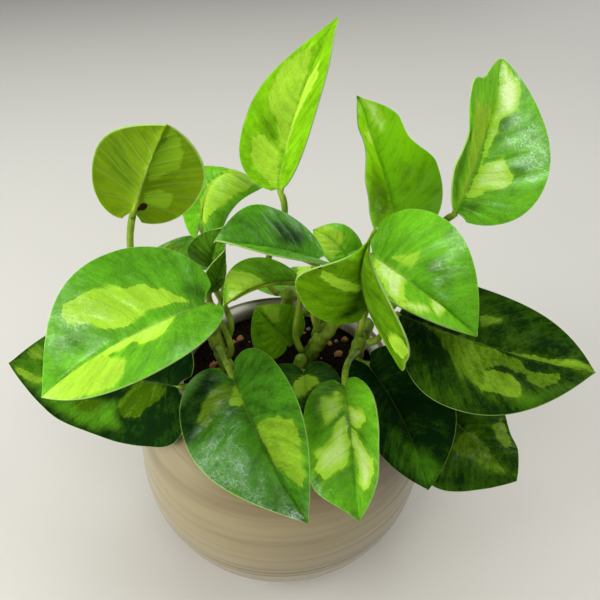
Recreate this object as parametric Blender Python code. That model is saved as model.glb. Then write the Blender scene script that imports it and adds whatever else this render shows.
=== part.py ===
"""Potted pothos: a heart-leaved climbing plant in a ball-shaped stoneware jar.

Run with blender --background --python part.py, or from Blender's text editor.
The origin is the centre of the jar's flat foot and +Z is up. Sizes below are in millimetres
and are turned into metres where a mesh or a curve is made.
"""
import math
from collections import namedtuple

import bmesh
import bpy
from mathutils import Vector, noise

MM = 0.001
CLEARANCE = 0.3          # gap kept between two pieces that touch

# Jar: a ball cut off flat at its foot and at its mouth
BALL_RADIUS = 60.0
BALL_HEIGHT = 43.0       # height of the ball's centre above the foot
LIP_HEIGHT = 85.0
MOUTH_RADIUS = 38.5
LIP_ROUNDING = 2.0
WALL = 5.0
FLOOR = 6.0
FOOT_CHAMFER = 1.2
# The lip from outside to inside, and the neck below it: (distance out from the edge of the lip's
# top or of the mouth, distance down from the top)
LIP_OUTSIDE = ((-1.0, 0.5), (-2.2, 0.0))
LIP_INSIDE = ((1.6, 0.0), (0.5, 0.6))
NECK = ((0.0, 2.0), (1.3, 7.0), (4.5, 14.0))
INNER_LATITUDES = (22.0, 8.0, -8.0, -22.0)
JAR_SIDES = 42
LATITUDE_STEP = 8.0      # degrees between the rings of the ball
GROOVE_DEPTH = 0.6
GROOVE_HALF_ANGLE = 0.8  # degrees of latitude from a turned groove's middle to its edge
GROOVE_LATITUDES = (-35.0, 2.0, 11.0)

# Soil
SOIL_HEIGHT = 78.0       # the neck has a ring at this height
SOIL_RINGS = 6
SOIL_SIDES = 30
SOIL_BUMP = 1.6          # height of the lumps in the soil's surface
SOIL_LUMP_SIZE = 7.0

# Leaves
BLADE_THICKNESS = 0.8
VEIN_ROWS = 9            # rows of faces from the joint to the tip
VEIN_COLUMNS = 3         # faces from the midrib to the margin
PETIOLE_RADIUS = 1.25
PETIOLE_SIDES_LEVEL = 1  # a curve's bevel resolution of 1 gives six sides
PETIOLE_STEPS = 7
PETIOLE_FOOT = 1.2       # how much thicker the petiole is at its stem
PETIOLE_WAIST = 0.95     # and how thick it is from a third of its length on
PETIOLE_RISE = 0.8       # how steeply it leaves its stem: rise along the stem for each 1 outward
PETIOLE_SINK = 0.75      # how deep its line lies under the blade, in radii
FIRST_PULL = 0.4         # shares of its length that its curve's two handles take
LAST_PULL = 0.35
RIB_END = 0.28           # share of the blade's length that the petiole's rib runs under it
RIB_SIZES = ((0.35, 0.85), (1.0, 0.45))  # (share of the rib's length, radius in petiole radii)
BUD_RADIUS = 0.55        # radius of a stem's blunt end, in stem radii
NODE_SWELL = 1.22        # how much thicker a stem is at the ring where a petiole leaves it
FACET_FIT = 0.95         # how far a many-sided stem's flats lie in from its round size, on average
STEM_STEPS = 12
HOLE_STEPS = 7           # steps of a stem that its hole in the soil follows, to well above the soil

# Half of a leaf's outline, as two Bezier arcs: from the joint round the lobe to the widest place,
# and on to the tip. The first number is along the leaf, in lengths, and the second is the
# distance from the midrib, in half widths.
LOBE_ARC = ((0.0, 0.0), (-0.17, 0.16), (-0.12, 1.0), (0.36, 1.0))
TIP_ARC = ((0.36, 1.0), (0.66, 1.0), (0.86, 0.48), (1.0, 0.0))
DRAWN_TIP_ARC = ((0.36, 1.0), (0.95, 1.25), (0.42, -0.1), (1.0, 0.0))
LOBE_SHARE = 0.42        # share of the outline's run that the lobe arc takes
FIRST_ROW = 0.09         # share of the outline's run where the notch's edge ends
VEIN_SWEEP = 1.5         # how a side vein curves forward on its way to the margin
ROOT_CROWDING = 2.0      # how closely the side veins stand together near the joint
RIPPLES = 9.0            # radians of the margin's ripple from the joint to the tip

# Stems: the four guide points of a Bezier curve, foot first, and the radius
Stem = namedtuple("Stem", "points radius")
STEMS = {
    "stem_left": Stem(((-17, 0, 66), (-20, 0, 80), (-25, 4, 92), (-28, 6, 106)), 2.5),
    "stem_back": Stem(((4, 20, 66), (3, 21, 80), (2, 22, 92), (3, 21, 106)), 2.6),
    "stem_middle": Stem(((6, 7, 66), (8, 8, 78), (14, 8, 90), (23, 9, 104)), 2.8),
    "stem_right": Stem(((27, 1, 66), (28, 2, 78), (30, 3, 92), (33, 2, 106)), 2.5),
    "stem_front": Stem(((6, -3, 66), (6, -3, 75), (6, -3, 84), (8, -3, 92)), 2.4),
}

# Leaves. joint and tip are the two ends of the midrib. face is the way that the upper side looks.
# halves are the widths of the right and the left half, seen from above with the tip ahead. fold
# and curl are angles in degrees for those two halves: fold lifts a half off the flat, and curl
# bends it further by the time it reaches the margin. arch is how far the midrib bows up between
# its ends, and side how far it bows to the right. lobe scales the two lobes at the joint. stem and
# at say where the petiole leaves its stem, and crook is the angle between petiole and midrib. wave
# is how far the margin ripples, and drawn is 1 on a blade that narrows early to a long thin tip.
# Each bulge is a place where the margin leaves that plain outline: the half (0 right, 1 left), the
# run at its middle, how far it reaches along the run, and how far out it goes (minus is a waist).
Leaf = namedtuple(
    "Leaf",
    "joint tip face halves fold curl arch side lobe stem at crook wave drawn bulges",
    defaults=(60.0, 0.6, 0.0, ()),
)
LEAVES = {
    "leaf_01_round_left": Leaf(
        (-50, 11, 149), (-32, 2, 185), (0, 9, 4), (17, 20), (20, 15), (-20, -25), 4, 0, 0.9,
        "stem_left", 0.84, 55),
    "leaf_02_back_left": Leaf(
        (-28, 17, 140), (-6, 43, 142), (0, -1, 9), (14, 13), (-15, 5), (-75, -30), 10, -7, 1.0,
        "stem_left", 0.97, 110),
    "leaf_03_tall": Leaf(
        (0, 18, 154), (21, 58, 200), (-8, -3, 5), (22, 22), (17, 15), (-15, 10), 3, -1, 0.1,
        "stem_back", 0.98, 55, 0.6, 0.0, ((1, 0.28, 0.16, 2.0), (0, 0.36, 0.3, -3.5))),
    "leaf_04_upright": Leaf(
        (48, 32, 126), (28, 40, 179), (3, -9, 3), (20, 14), (23, 42), (-10, -15), 4, -1, 0.3,
        "stem_middle", 0.72, 20, 1.2, 0.0,
        ((0, 0.64, 0.16, -3.5), (0, 0.86, 0.12, 1.0), (1, 0.7, 0.14, -3.0), (1, 0.36, 0.14, 2.0))),
    "leaf_05_upright_right": Leaf(
        (61, 9, 150), (80, 54, 187), (3, -8, 5), (25, 22), (25, 42), (-20, 0), 4, 0, 0.3,
        "stem_right", 0.98, 85, 1.0, 0.0, ((1, 0.53, 0.1, 6.5), (1, 0.4, 0.1, -5.5))),
    "leaf_06_arched_right": Leaf(
        (33, 8, 134), (66, -23, 123), (1, -6, 8), (20, 23), (45, 30), (-10, 5), 7, 2, 1.2,
        "stem_middle", 0.97),
    "leaf_07_dark_centre": Leaf(
        (14, -2, 138), (-18, -18, 157), (0, -1, 10), (18, 16), (25, 30), (-15, -13), 1, 1, 1.0,
        "stem_middle", 0.82),
    "leaf_08_pale_back": Leaf(
        (28, 22, 120), (13, 33, 128), (0, -4, 9), (9, 8), (12, 12), (-20, -20), 4, 0, 1.1,
        "stem_middle", 0.63),
    "leaf_09_folded": Leaf(
        (31, -12, 125), (28, -34, 172), (1, -9, 0), (30, 20), (75, 14), (0, -23), -2, -3, 1.1,
        "stem_right", 0.95, 20, 0.6, 1.0),
    "leaf_10_small_left": Leaf(
        (-25, 11, 126), (-19, 7, 146), (-2, -8, 4), (6, 9), (10, 15), (0, 0), 2, 0, 0.8,
        "stem_left", 0.72, -20),
    "leaf_11_sliver_left": Leaf(
        (-25, 4, 120), (-18, 2, 141), (4, -6, 2), (2, 7), (30, 10), (0, 0), 2, 0, 0.8,
        "stem_left", 0.58, 20),
    "leaf_12_centre": Leaf(
        (7, 4, 125), (-18, -14, 128), (0, -1, 9), (16, 10), (5, -145), (-15, -5), 3, 1, 0.6,
        "stem_middle", 0.52, 60),
    "leaf_13_rear": Leaf(
        (6, 36, 95), (-4, 76, 73), (0, 2, 6), (20, 20), (10, 10), (-25, -25), 5, 0, 1.0,
        "stem_back", 0.8),
    "leaf_14_small_olive": Leaf(
        (3, 9, 89), (-10, 14, 104), (0, -5, 6), (12, 12), (12, 15), (-15, -5), 2, 0, 0.8,
        "stem_back", 0.45, 20),
    "leaf_15_large_left": Leaf(
        (-24, -11, 127), (-80, -32, 103), (0, -2, 10), (29, 26), (20, 32), (30, -25), 5, 0, 0.8,
        "stem_left", 0.88),
    "leaf_16_lower_left": Leaf(
        (-36, -20, 95), (-105, -4, 91), (0, -7, 7), (24, 26), (12, 8), (-20, -25), -6, 0, 0.9,
        "stem_left", 0.45, 40, 0.6, 0.0, ((1, 0.5, 0.22, -2.5), (1, 0.24, 0.12, 2.0))),
    "leaf_17_front_left": Leaf(
        (-16, -22, 102), (10, -73, 94), (-2, -3, 9), (23, 19), (35, 33), (-20, -13), 3, 1, 1.2,
        "stem_left", 0.7, 20),
    "leaf_18_front": Leaf(
        (23, -27, 104), (27, -63, 78), (-3, -5, 8), (16, 16), (20, 40), (-30, 0), 4, -1, 0.5,
        "stem_right", 0.72, 10, 0.6, 0.0, ((0, 0.72, 0.18, 3.0), (1, 0.5, 0.2, -1.5))),
    "leaf_19_dark_front": Leaf(
        (9, -9, 92), (12, -44, 90), (0, -1, 6), (17, 14), (13, 5), (-17, -15), 1, 0, 1.2,
        "stem_front", 0.75, 30),
    "leaf_20_dark_right": Leaf(
        (33, -11, 97), (53, -47, 71), (1, -4, 9), (16, 20), (17, 30), (-16, -20), 8, 0, 1.0,
        "stem_right", 0.61),
    "leaf_21_large_right": Leaf(
        (42, -8, 120), (106, -29, 112), (0, -4, 9), (26, 25), (14, 6), (-25, -35), 2, 3, -0.3,
        "stem_right", 0.86),
    "leaf_22_lower_right": Leaf(
        (58, -14, 81), (86, -42, 69), (1, -5, 9), (24, 18), (6, 8), (-22, -20), 4, 1, 1.0,
        "stem_right", 0.52, -35, 0.6, 0.0, ((1, 0.66, 0.15, -2.0), (0, 0.6, 0.2, 1.2))),
    "leaf_23_rear_left": Leaf(
        (-36, 34, 106), (-76, 64, 84), (0, -1, 6), (22, 22), (10, 10), (-25, -25), 5, 0, 1.0,
        "stem_left", 0.8),
    "leaf_24_rear_right": Leaf(
        (38, 34, 96), (80, 64, 76), (0, 2, 6), (22, 22), (10, 10), (-25, -25), 5, 0, 1.0,
        "stem_back", 0.62),
}

# Colours and finishes: red, green, blue, roughness
FINISHES = {
    "stoneware": (0.46, 0.38, 0.28, 0.45),
    "soil": (0.035, 0.022, 0.014, 0.95),
    "stem": (0.16, 0.24, 0.03, 0.45),
    "leaf": (0.06, 0.22, 0.02, 0.35),
}


def clear_scene():
    for thing in list(bpy.data.objects):
        bpy.data.objects.remove(thing, do_unlink=True)


def finish(name):
    """One of the FINISHES as a Principled material."""
    material = bpy.data.materials.get(name) or bpy.data.materials.new(name)
    material.use_nodes = True
    red, green, blue, roughness = FINISHES[name]
    shader = material.node_tree.nodes["Principled BSDF"]
    shader.inputs["Base Color"].default_value = (red, green, blue, 1.0)
    shader.inputs["Roughness"].default_value = roughness
    shader.inputs["Metallic"].default_value = 0.0
    material.diffuse_color = (red, green, blue, 1.0)
    return material


def add_object(name, data, material=None):
    thing = bpy.data.objects.new(name, data)
    bpy.context.scene.collection.objects.link(thing)
    if material:
        thing.data.materials.append(finish(material))
    return thing


def add_cutter(name, data):
    """An object that only shapes another one."""
    thing = add_object(name, data)
    thing.hide_render = True
    thing.display_type = "WIRE"
    return thing


def mesh_from(bm, name):
    bmesh.ops.recalc_face_normals(bm, faces=bm.faces)
    mesh = bpy.data.meshes.new(name)
    bm.to_mesh(mesh)
    bm.free()
    return mesh


def smooth(mesh, angle=40.0):
    mesh.shade_smooth()
    mesh.set_sharp_from_angle(angle=math.radians(angle))


def boolean(thing, cutter, operation):
    modifier = thing.modifiers.new(operation.lower(), "BOOLEAN")
    modifier.operation = operation
    modifier.object = cutter
    modifier.solver = "EXACT"


def bezier(guides, t):
    """A point of the Bezier curve that four guide points set."""
    a, b, c, d = (Vector(p) for p in guides)
    s = 1.0 - t
    return a * s ** 3 + b * (3 * s * s * t) + c * (3 * s * t * t) + d * t ** 3


def bezier_direction(guides, t, step=0.01):
    return (bezier(guides, min(t + step, 1.0)) - bezier(guides, max(t - step, 0.0))).normalized()


def tube_mesh(name, points, radii, sides_level):
    """A round bar with closed ends through the points, in millimetres."""
    curve = bpy.data.curves.new(name, "CURVE")
    curve.dimensions = "3D"
    curve.bevel_depth = MM
    curve.bevel_resolution = sides_level
    curve.use_fill_caps = True
    spline = curve.splines.new("POLY")
    spline.points.add(len(points) - 1)
    for place, point, radius in zip(spline.points, points, radii):
        place.co = (*(Vector(point) * MM), 1.0)
        place.radius = radius
    guide = bpy.data.objects.new(name, curve)
    bpy.context.scene.collection.objects.link(guide)
    mesh = bpy.data.meshes.new_from_object(guide.evaluated_get(bpy.context.evaluated_depsgraph_get()))
    bpy.data.objects.remove(guide)
    bm = bmesh.new()
    bm.from_mesh(mesh)
    bmesh.ops.remove_doubles(bm, verts=bm.verts, dist=0.01 * MM)
    bpy.data.meshes.remove(mesh)
    return mesh_from(bm, name)


def turned_mesh(name, profile, sides):
    """A profile of (radius, height) points from axis to axis, turned once round."""
    bm = bmesh.new()
    ring = [bm.verts.new((radius * MM, 0.0, height * MM)) for radius, height in profile]
    edges = [bm.edges.new(pair) for pair in zip(ring, ring[1:])]
    bmesh.ops.spin(
        bm, geom=ring + edges, cent=(0, 0, 0), axis=(0, 0, 1), angle=math.tau, steps=sides)
    bmesh.ops.remove_doubles(bm, verts=bm.verts, dist=0.01 * MM)
    return mesh_from(bm, name)


def ball_point(radius, latitude):
    angle = math.radians(latitude)
    return radius * math.cos(angle), BALL_HEIGHT + radius * math.sin(angle)


def ball_latitude(radius, height):
    return math.degrees(math.asin((height - BALL_HEIGHT) / radius))


def outer_profile():
    """The jar's outside from the foot's edge to the lip, with its turned grooves."""
    low = ball_latitude(BALL_RADIUS, FOOT_CHAMFER)
    high = ball_latitude(BALL_RADIUS, LIP_HEIGHT - LIP_ROUNDING)
    count = round((high - low) / LATITUDE_STEP)
    rings = {low + (high - low) * i / count: 0.0 for i in range(count + 1)}
    for groove in GROOVE_LATITUDES:
        near = [ring for ring in rings if abs(ring - groove) < 2 * GROOVE_HALF_ANGLE]
        for ring in near:
            del rings[ring]
        for offset, depth in ((-1, 0.0), (0, GROOVE_DEPTH), (1, 0.0)):
            rings[groove + offset * GROOVE_HALF_ANGLE] = depth
    return [ball_point(BALL_RADIUS - rings[ring], ring) for ring in sorted(rings)]


def inner_profile(offset=0.0):
    """The jar's inside from the lip's inner edge down to the floor's edge."""
    radius = BALL_RADIUS - WALL
    neck = [(MOUTH_RADIUS + out, LIP_HEIGHT - down) for out, down in NECK]
    belly = [ball_point(radius, latitude) for latitude in INNER_LATITUDES]
    floor = ball_point(radius, ball_latitude(radius, FLOOR))
    return [(r - offset, z) for r, z in neck + belly] + [(floor[0] - offset, floor[1] + offset)]


def make_jar():
    outer = outer_profile()
    inner = inner_profile()
    foot_radius = outer[0][0] - FOOT_CHAMFER
    lip = [(outer[-1][0] + out, LIP_HEIGHT - down) for out, down in LIP_OUTSIDE]
    lip += [(MOUTH_RADIUS + out, LIP_HEIGHT - down) for out, down in LIP_INSIDE]
    profile = [(0.0, 0.0), (foot_radius, 0.0)] + outer + lip + inner + [(0.0, FLOOR)]
    jar = add_object("jar", turned_mesh("jar", profile, JAR_SIDES), "stoneware")
    smooth(jar.data)


def soil_bump(x, y):
    return SOIL_BUMP * noise.noise(Vector((x, y, 3.0)) / SOIL_LUMP_SIZE)


def make_soil():
    """The soil fills the jar. Its top is lumpy, and each stem stands in a plain hole in it."""
    wall = inner_profile(CLEARANCE)[1:]
    edge = wall[0][0]
    top = [(edge * i / SOIL_RINGS, SOIL_HEIGHT) for i in range(SOIL_RINGS + 1)]
    profile = top + wall[1:] + [(0.0, FLOOR + CLEARANCE)]
    mesh = turned_mesh("soil", profile, SOIL_SIDES)
    for vertex in mesh.vertices:
        x, y, z = vertex.co / MM
        if abs(z - SOIL_HEIGHT) < 0.1 and math.hypot(x, y) < edge - 1.0:
            vertex.co.z += soil_bump(x, y) * MM
    soil = add_object("soil", mesh, "soil")
    for name, stem in STEMS.items():
        below = Vector(stem.points[0]) - bezier_direction(stem.points, 0.0) * CLEARANCE
        path = [below] + [bezier(stem.points, i / STEM_STEPS) for i in range(1, HOLE_STEPS + 1)]
        radius = stem.radius + CLEARANCE
        hole = tube_mesh(name + "_hole", path, [radius] * len(path), 3)
        boolean(soil, add_cutter(name + "_hole", hole), "DIFFERENCE")
    return soil


def make_stems():
    """Each stem swells a little at the rings where its petioles leave it, and ends in a blunt bud."""
    for name, stem in STEMS.items():
        rings = [leaf.at for leaf in LEAVES.values() if leaf.stem == name]
        steps = [i / STEM_STEPS for i in range(STEM_STEPS + 1)]
        points = [bezier(stem.points, t) for t in steps]
        radii = []
        for t in steps:
            near = min((abs(t - ring) for ring in rings), default=1.0)
            swell = 1.0 + (NODE_SWELL - 1.0) * max(0.0, 1.0 - near * STEM_STEPS)
            radii.append(stem.radius * swell)
        end = bezier_direction(stem.points, 1.0)
        points.append(points[-1] + end * stem.radius)
        radii.append(stem.radius * BUD_RADIUS)
        mesh = tube_mesh(name, points, radii, 2)
        smooth(mesh)
        add_object(name, mesh, "stem")


def leaf_frame(leaf):
    """The blade's own directions: along the midrib, to its right, and up from its upper side."""
    along = (Vector(leaf.tip) - Vector(leaf.joint)).normalized()
    face = Vector(leaf.face)
    up = (face - along * face.dot(along)).normalized()
    return along, along.cross(up), up


def outline_point(run, lobe, drawn):
    """A point of the half outline, run from 0 at the joint to 1 at the tip."""
    if run < LOBE_SHARE:
        arc = [(along * lobe if along < 0 else along, out, 0.0) for along, out in LOBE_ARC]
        t = run / LOBE_SHARE
    else:
        arc = [((1 - drawn) * full[0] + drawn * slim[0], (1 - drawn) * full[1] + drawn * slim[1], 0.0)
               for full, slim in zip(TIP_ARC, DRAWN_TIP_ARC)]
        t = (run - LOBE_SHARE) / (1.0 - LOBE_SHARE)
    point = bezier(arc, t)
    return point.x, point.y


def margin_bulge(leaf, half, run):
    """How far the margin stands out of the plain outline."""
    total = 0.0
    for side, middle, span, out in leaf.bulges:
        if side == half:
            near = max(0.0, 1.0 - ((run - middle) / span) ** 2)
            total += out * near * near
    return total


def blade_point(leaf, run, across):
    """A point of the blade. across goes from -1 at the left margin to 1 at the right one."""
    along, right, up = leaf_frame(leaf)
    length = (Vector(leaf.tip) - Vector(leaf.joint)).length
    margin_along, margin_out = outline_point(run, leaf.lobe, leaf.drawn)
    root = run ** ROOT_CROWDING
    share = abs(across)
    x = root + (margin_along - root) * share ** VEIN_SWEEP
    half = 0 if across > 0 else 1
    out = (margin_out * leaf.halves[half] + margin_bulge(leaf, half, run)) * share
    fold = math.radians(leaf.fold[half])
    bend = math.radians(leaf.curl[half] or 0.1) / leaf.halves[half]
    sideways = (math.sin(fold + bend * out) - math.sin(fold)) / bend
    lift = (math.cos(fold) - math.cos(fold + bend * out)) / bend
    lift += leaf.arch * 4 * x * (1 - x)
    lift += leaf.wave * math.sin(RIPPLES * run + 2.0 * half + length) * share ** 2
    sideways = math.copysign(sideways, across) + leaf.side * 4 * x * (1 - x)
    return Vector(leaf.joint) + along * (x * length) + right * sideways + up * lift


def blade_mesh(leaf, name):
    """The blade as one sheet of triangles: rows run out from the midrib as the side veins do."""
    bm = bmesh.new()
    runs = [FIRST_ROW + (1 - FIRST_ROW) * i / VEIN_ROWS for i in range(VEIN_ROWS)]
    midrib = [bm.verts.new(blade_point(leaf, 0.0 if i == 0 else run, 0.0) * MM)
              for i, run in enumerate(runs)]
    tip = bm.verts.new(blade_point(leaf, 1.0, 0.0) * MM)
    for hand in (-1, 1):
        rows = []
        for run, root in zip(runs, midrib):
            shares = [hand * j / VEIN_COLUMNS for j in range(1, VEIN_COLUMNS + 1)]
            rows.append([root] + [bm.verts.new(blade_point(leaf, run, a) * MM) for a in shares])
        for near, far in zip(rows, rows[1:]):
            for j in range(VEIN_COLUMNS):
                quad = (near[j], near[j + 1], far[j + 1], far[j])
                bm.faces.new(quad if hand > 0 else quad[::-1])
        for j in range(VEIN_COLUMNS):
            corner = (rows[-1][j], rows[-1][j + 1], tip)
            bm.faces.new(corner if hand > 0 else corner[::-1])
    bmesh.ops.triangulate(bm, faces=bm.faces)
    mesh = bpy.data.meshes.new(name)
    bm.to_mesh(mesh)
    bm.free()
    return mesh


def petiole_path(leaf):
    """The petiole's line from its stem to the joint, and on under the blade as a rib."""
    along, _, up = leaf_frame(leaf)
    joint = Vector(leaf.joint)
    stem = STEMS[leaf.stem]
    root = bezier(stem.points, leaf.at)
    axis = bezier_direction(stem.points, leaf.at)
    outward = joint - root
    outward = (outward - axis * outward.dot(axis)).normalized()
    start = (outward + axis * PETIOLE_RISE).normalized()
    foot_radius = PETIOLE_RADIUS * PETIOLE_FOOT
    reach = (stem.radius * NODE_SWELL + foot_radius * start.dot(axis)) * FACET_FIT + CLEARANCE
    foot = root + outward * reach
    under = joint - up * (PETIOLE_RADIUS * PETIOLE_SINK)
    crook = math.radians(leaf.crook)
    arrive = along * math.cos(crook) + up * math.sin(crook)
    distance = (under - foot).length
    guides = (foot, foot + start * (distance * FIRST_PULL),
              under - arrive * (distance * LAST_PULL), under)
    steps = [i / PETIOLE_STEPS for i in range(PETIOLE_STEPS + 1)]
    points = [bezier(guides, t) for t in steps]
    slimming = foot_radius - PETIOLE_RADIUS * PETIOLE_WAIST
    radii = [foot_radius - slimming * min(1.0, 3 * t) for t in steps]
    for share, size in RIB_SIZES:
        rib_radius = PETIOLE_RADIUS * size
        run = (RIB_END * share) ** (1 / ROOT_CROWDING)
        points.append(blade_point(leaf, run, 0.0) - up * (rib_radius * PETIOLE_SINK))
        radii.append(rib_radius)
    return points, radii


def make_leaf(name, leaf):
    blade = add_object(name, blade_mesh(leaf, name), "leaf")
    smooth(blade.data, 60.0)
    wall = blade.modifiers.new("thickness", "SOLIDIFY")
    wall.thickness = BLADE_THICKNESS * MM
    wall.offset = 0.0
    points, radii = petiole_path(leaf)
    petiole = add_cutter(name + "_petiole", tube_mesh(name, points, radii, PETIOLE_SIDES_LEVEL))
    boolean(blade, petiole, "UNION")


def main():
    clear_scene()
    make_jar()
    make_soil()
    make_stems()
    for name, leaf in LEAVES.items():
        make_leaf(name, leaf)


main()
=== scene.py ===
"""Looks of a potted two-tone, heart-leaved pothos in a round stoneware jar.

Run as a script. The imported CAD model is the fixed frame, and a finer piece takes the place of each
of its solids: the same jar, soil, stems and leaves, with turned rings, crumbs, veins and pale
patches. Tables and sizes inside the script are in millimetres, and meshes are in metres.
"""

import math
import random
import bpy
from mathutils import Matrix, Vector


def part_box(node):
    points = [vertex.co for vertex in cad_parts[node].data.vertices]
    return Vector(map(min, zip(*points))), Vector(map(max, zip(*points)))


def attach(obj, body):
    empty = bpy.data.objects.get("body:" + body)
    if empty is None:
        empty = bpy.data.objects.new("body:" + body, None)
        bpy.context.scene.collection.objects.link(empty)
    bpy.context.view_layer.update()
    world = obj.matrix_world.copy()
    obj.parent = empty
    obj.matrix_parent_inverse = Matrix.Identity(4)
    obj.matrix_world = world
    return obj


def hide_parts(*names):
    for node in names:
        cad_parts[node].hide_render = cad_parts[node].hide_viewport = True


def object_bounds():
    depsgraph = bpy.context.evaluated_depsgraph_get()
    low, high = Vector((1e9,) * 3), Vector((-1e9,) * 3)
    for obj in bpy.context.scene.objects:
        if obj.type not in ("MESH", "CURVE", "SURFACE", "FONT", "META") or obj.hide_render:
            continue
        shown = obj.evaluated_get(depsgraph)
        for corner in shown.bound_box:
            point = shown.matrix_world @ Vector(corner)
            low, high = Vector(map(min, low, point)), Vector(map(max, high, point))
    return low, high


bl_info = {
    "name": "Potted Pothos",
    "version": (1, 0, 0),
    "blender": (4, 5, 0),
    "location": "3D View > Sidebar > Pothos",
    "description": "Dresses a potted pothos with leaves, stems, soil and a stoneware jar",
    "category": "Add Mesh",
}

from collections import namedtuple

import bpy
import numpy as np
from mathutils import Vector, noise

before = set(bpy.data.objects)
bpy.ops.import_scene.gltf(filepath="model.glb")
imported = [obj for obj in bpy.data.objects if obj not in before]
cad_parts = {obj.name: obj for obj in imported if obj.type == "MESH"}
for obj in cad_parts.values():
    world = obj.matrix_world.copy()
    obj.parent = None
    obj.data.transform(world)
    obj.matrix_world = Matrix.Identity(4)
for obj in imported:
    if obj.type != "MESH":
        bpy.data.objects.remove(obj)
CAD_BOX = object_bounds()
JAR_LOW, JAR_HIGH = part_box("jar")

MM = 0.001
TINY = 1e-6
MERGE_DISTANCE = 0.00001  # metres
CLEARANCE = 0.3

# Jar, with latitudes on its ball in degrees
BALL_RADIUS = (JAR_HIGH.x - JAR_LOW.x) / 2 / MM
BALL_HEIGHT = 43.0
LIP_HEIGHT = JAR_HIGH.z / MM
MOUTH_RADIUS = 38.5
WALL = 5.0
FLOOR = 6.0
HUB_RADIUS = 2.0  # the small disc at the middle of the underside and of the floor inside
SOIL_HEIGHT = 78.0
FOOT_STEPS = ((1.2, 0.0), (0.5, 0.25))  # (how far inside the outside's lowest ring, height)
NECK_STEPS = (  # (how far outside the mouth's radius, height)
    (0.0, LIP_HEIGHT - 2.5), (0.4, LIP_HEIGHT - 4.5), (1.3, SOIL_HEIGHT), (4.5, SOIL_HEIGHT - 7.0))
BELLY_LATITUDES = (22, 8, -8, -22)
LIP_STEPS = 12
LIP_ROUNDNESS = 0.7
INNER_LIP_DROP = 1.5  # the off-white inner glaze reaches over the lip this far down and out
INNER_LIP_WIDTH = 1.2
LOW_LATITUDE = -44.2
HIGH_LATITUDE = 41.8
LATITUDE_STEP = 0.55
JAR_SIDES = 160
GROOVES = (  # (latitude, depth, half width, how brown)
    (-35.0, 0.55, 0.8, 1.0), (-10.2, 0.35, 0.7, 1.0), (-7.4, 0.4, 0.7, 1.0), (2.0, 0.3, 1.2, 0.1),
    (11.0, 0.25, 1.2, 0.1))
FINE_RINGS = (  # (latitude, depth)
    (-39.0, 0.12), (-32.4, 0.22), (-30.0, 0.12), (-25.5, 0.1), (-19.0, 0.12), (-4.0, 0.08),
    (5.5, 0.05), (15.0, 0.05), (21.5, 0.05), (27.0, 0.05), (33.0, 0.05))
FINE_RING_WIDTH = 0.55
FINE_RING_WEAR = 4.0

# Soil
SOIL_SIDES = 128
SOIL_STEP = 0.8
SOIL_FADE = 2.0
SOIL_EDGE = MOUTH_RADIUS + 1.3 - CLEARANCE
SOIL_WALL = (  # (radius, height), from the jar's floor up
    (30.0, FLOOR + 0.3), (40.0, FLOOR + 0.4), (52.5, 34.0), (54.0, 50.0), (50.0, 62.0),
    (42.4, 71.0))
SOIL_LUMPS = ((7.0, 1.0, 3.0), (2.6, 0.5, 9.0), (1.1, 0.3, 17.0))  # (width, share, noise layer)
CRUMB_SEED = 4
CRUMB_INSET = 2.0
CRUMB_RISE = 0.25
CRUMB_LUMPS = 0.45
CRUMB_SQUASH = ((0.8, 1.2), (0.7, 1.1), (0.6, 0.9))  # least and most on each axis
LEAST_CRUMB = 0.35
CRUMB_GROWTH = 0.9
GRIT_FROM = 0.97  # a draw from 0 to 1 above this is pale grit, and above the next one pumice
PUMICE_FROM = 0.95
PUMICE_GRAINS = (  # (x, y, radius)
    (-17.5, -17.0, 2.3), (-9.5, 1.0, 1.6), (16.5, -8.5, 1.9), (14.0, -7.0, 1.2),
    (-13.0, -13.0, 1.1), (24.0, 14.0, 1.8), (-28.3, 7.2, 2.0), (-26.0, 8.9, 1.4),
    (-18.3, 23.5, 1.8), (-21.2, 21.6, 1.3), (-23.6, 14.2, 1.5), (20.6, 20.3, 1.2),
    (27.2, 22.8, 1.5), (29.5, 12.4, 1.4))

# Leaves: the same outline, stems and list of leaves as in the part's source
BLADE_ROWS = 84
BLADE_COLUMNS = 56
PETIOLE_RADIUS = 1.25
PETIOLE_STEPS = 26
PETIOLE_FOOT = 1.2
PETIOLE_WAIST = 0.95
PETIOLE_RISE = 0.8
PETIOLE_SINK = 0.75
FIRST_PULL = 0.4
LAST_PULL = 0.35
NODE_SWELL = 1.22
FACET_FIT = 0.95
LOBE_ARC = ((0.0, 0.0), (-0.17, 0.16), (-0.12, 1.0), (0.36, 1.0))
TIP_ARC = ((0.36, 1.0), (0.66, 1.0), (0.86, 0.48), (1.0, 0.0))
DRAWN_TIP_ARC = ((0.36, 1.0), (0.95, 1.25), (0.42, -0.1), (1.0, 0.0))
LOBE_SHARE = 0.42
FIRST_ROW = 0.09
VEIN_SWEEP = 1.5
ROOT_CROWDING = 2.0
RIPPLES = 9.0
LEAST_CURL = 0.1
JOINT_SWELL = 0.1
RIB_ENDS = (0.05, 0.93)
RIB_STEPS = 22
RIB_TAPER = 0.92
RIB_TIP = 0.12
RIB_SINK = 0.85
GROOVE_WIDTH = 1.1
GROOVE_TAPER = 0.5
SMOOTH_ANGLE = 55
SEED_SPREAD = 40.0
SIDE_VEINS = 9
PUFF_ROUNDNESS = 0.7
WAVE_LENGTH = 15.0
VEIN_GRAINS = ((26.0, 2.2), (120.0, 9.0))  # noise cells along the blade and over a half
GLOW_REACH = (0.7, 1.2, 0.15)  # how far red, green and blue light travel inside a blade

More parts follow.
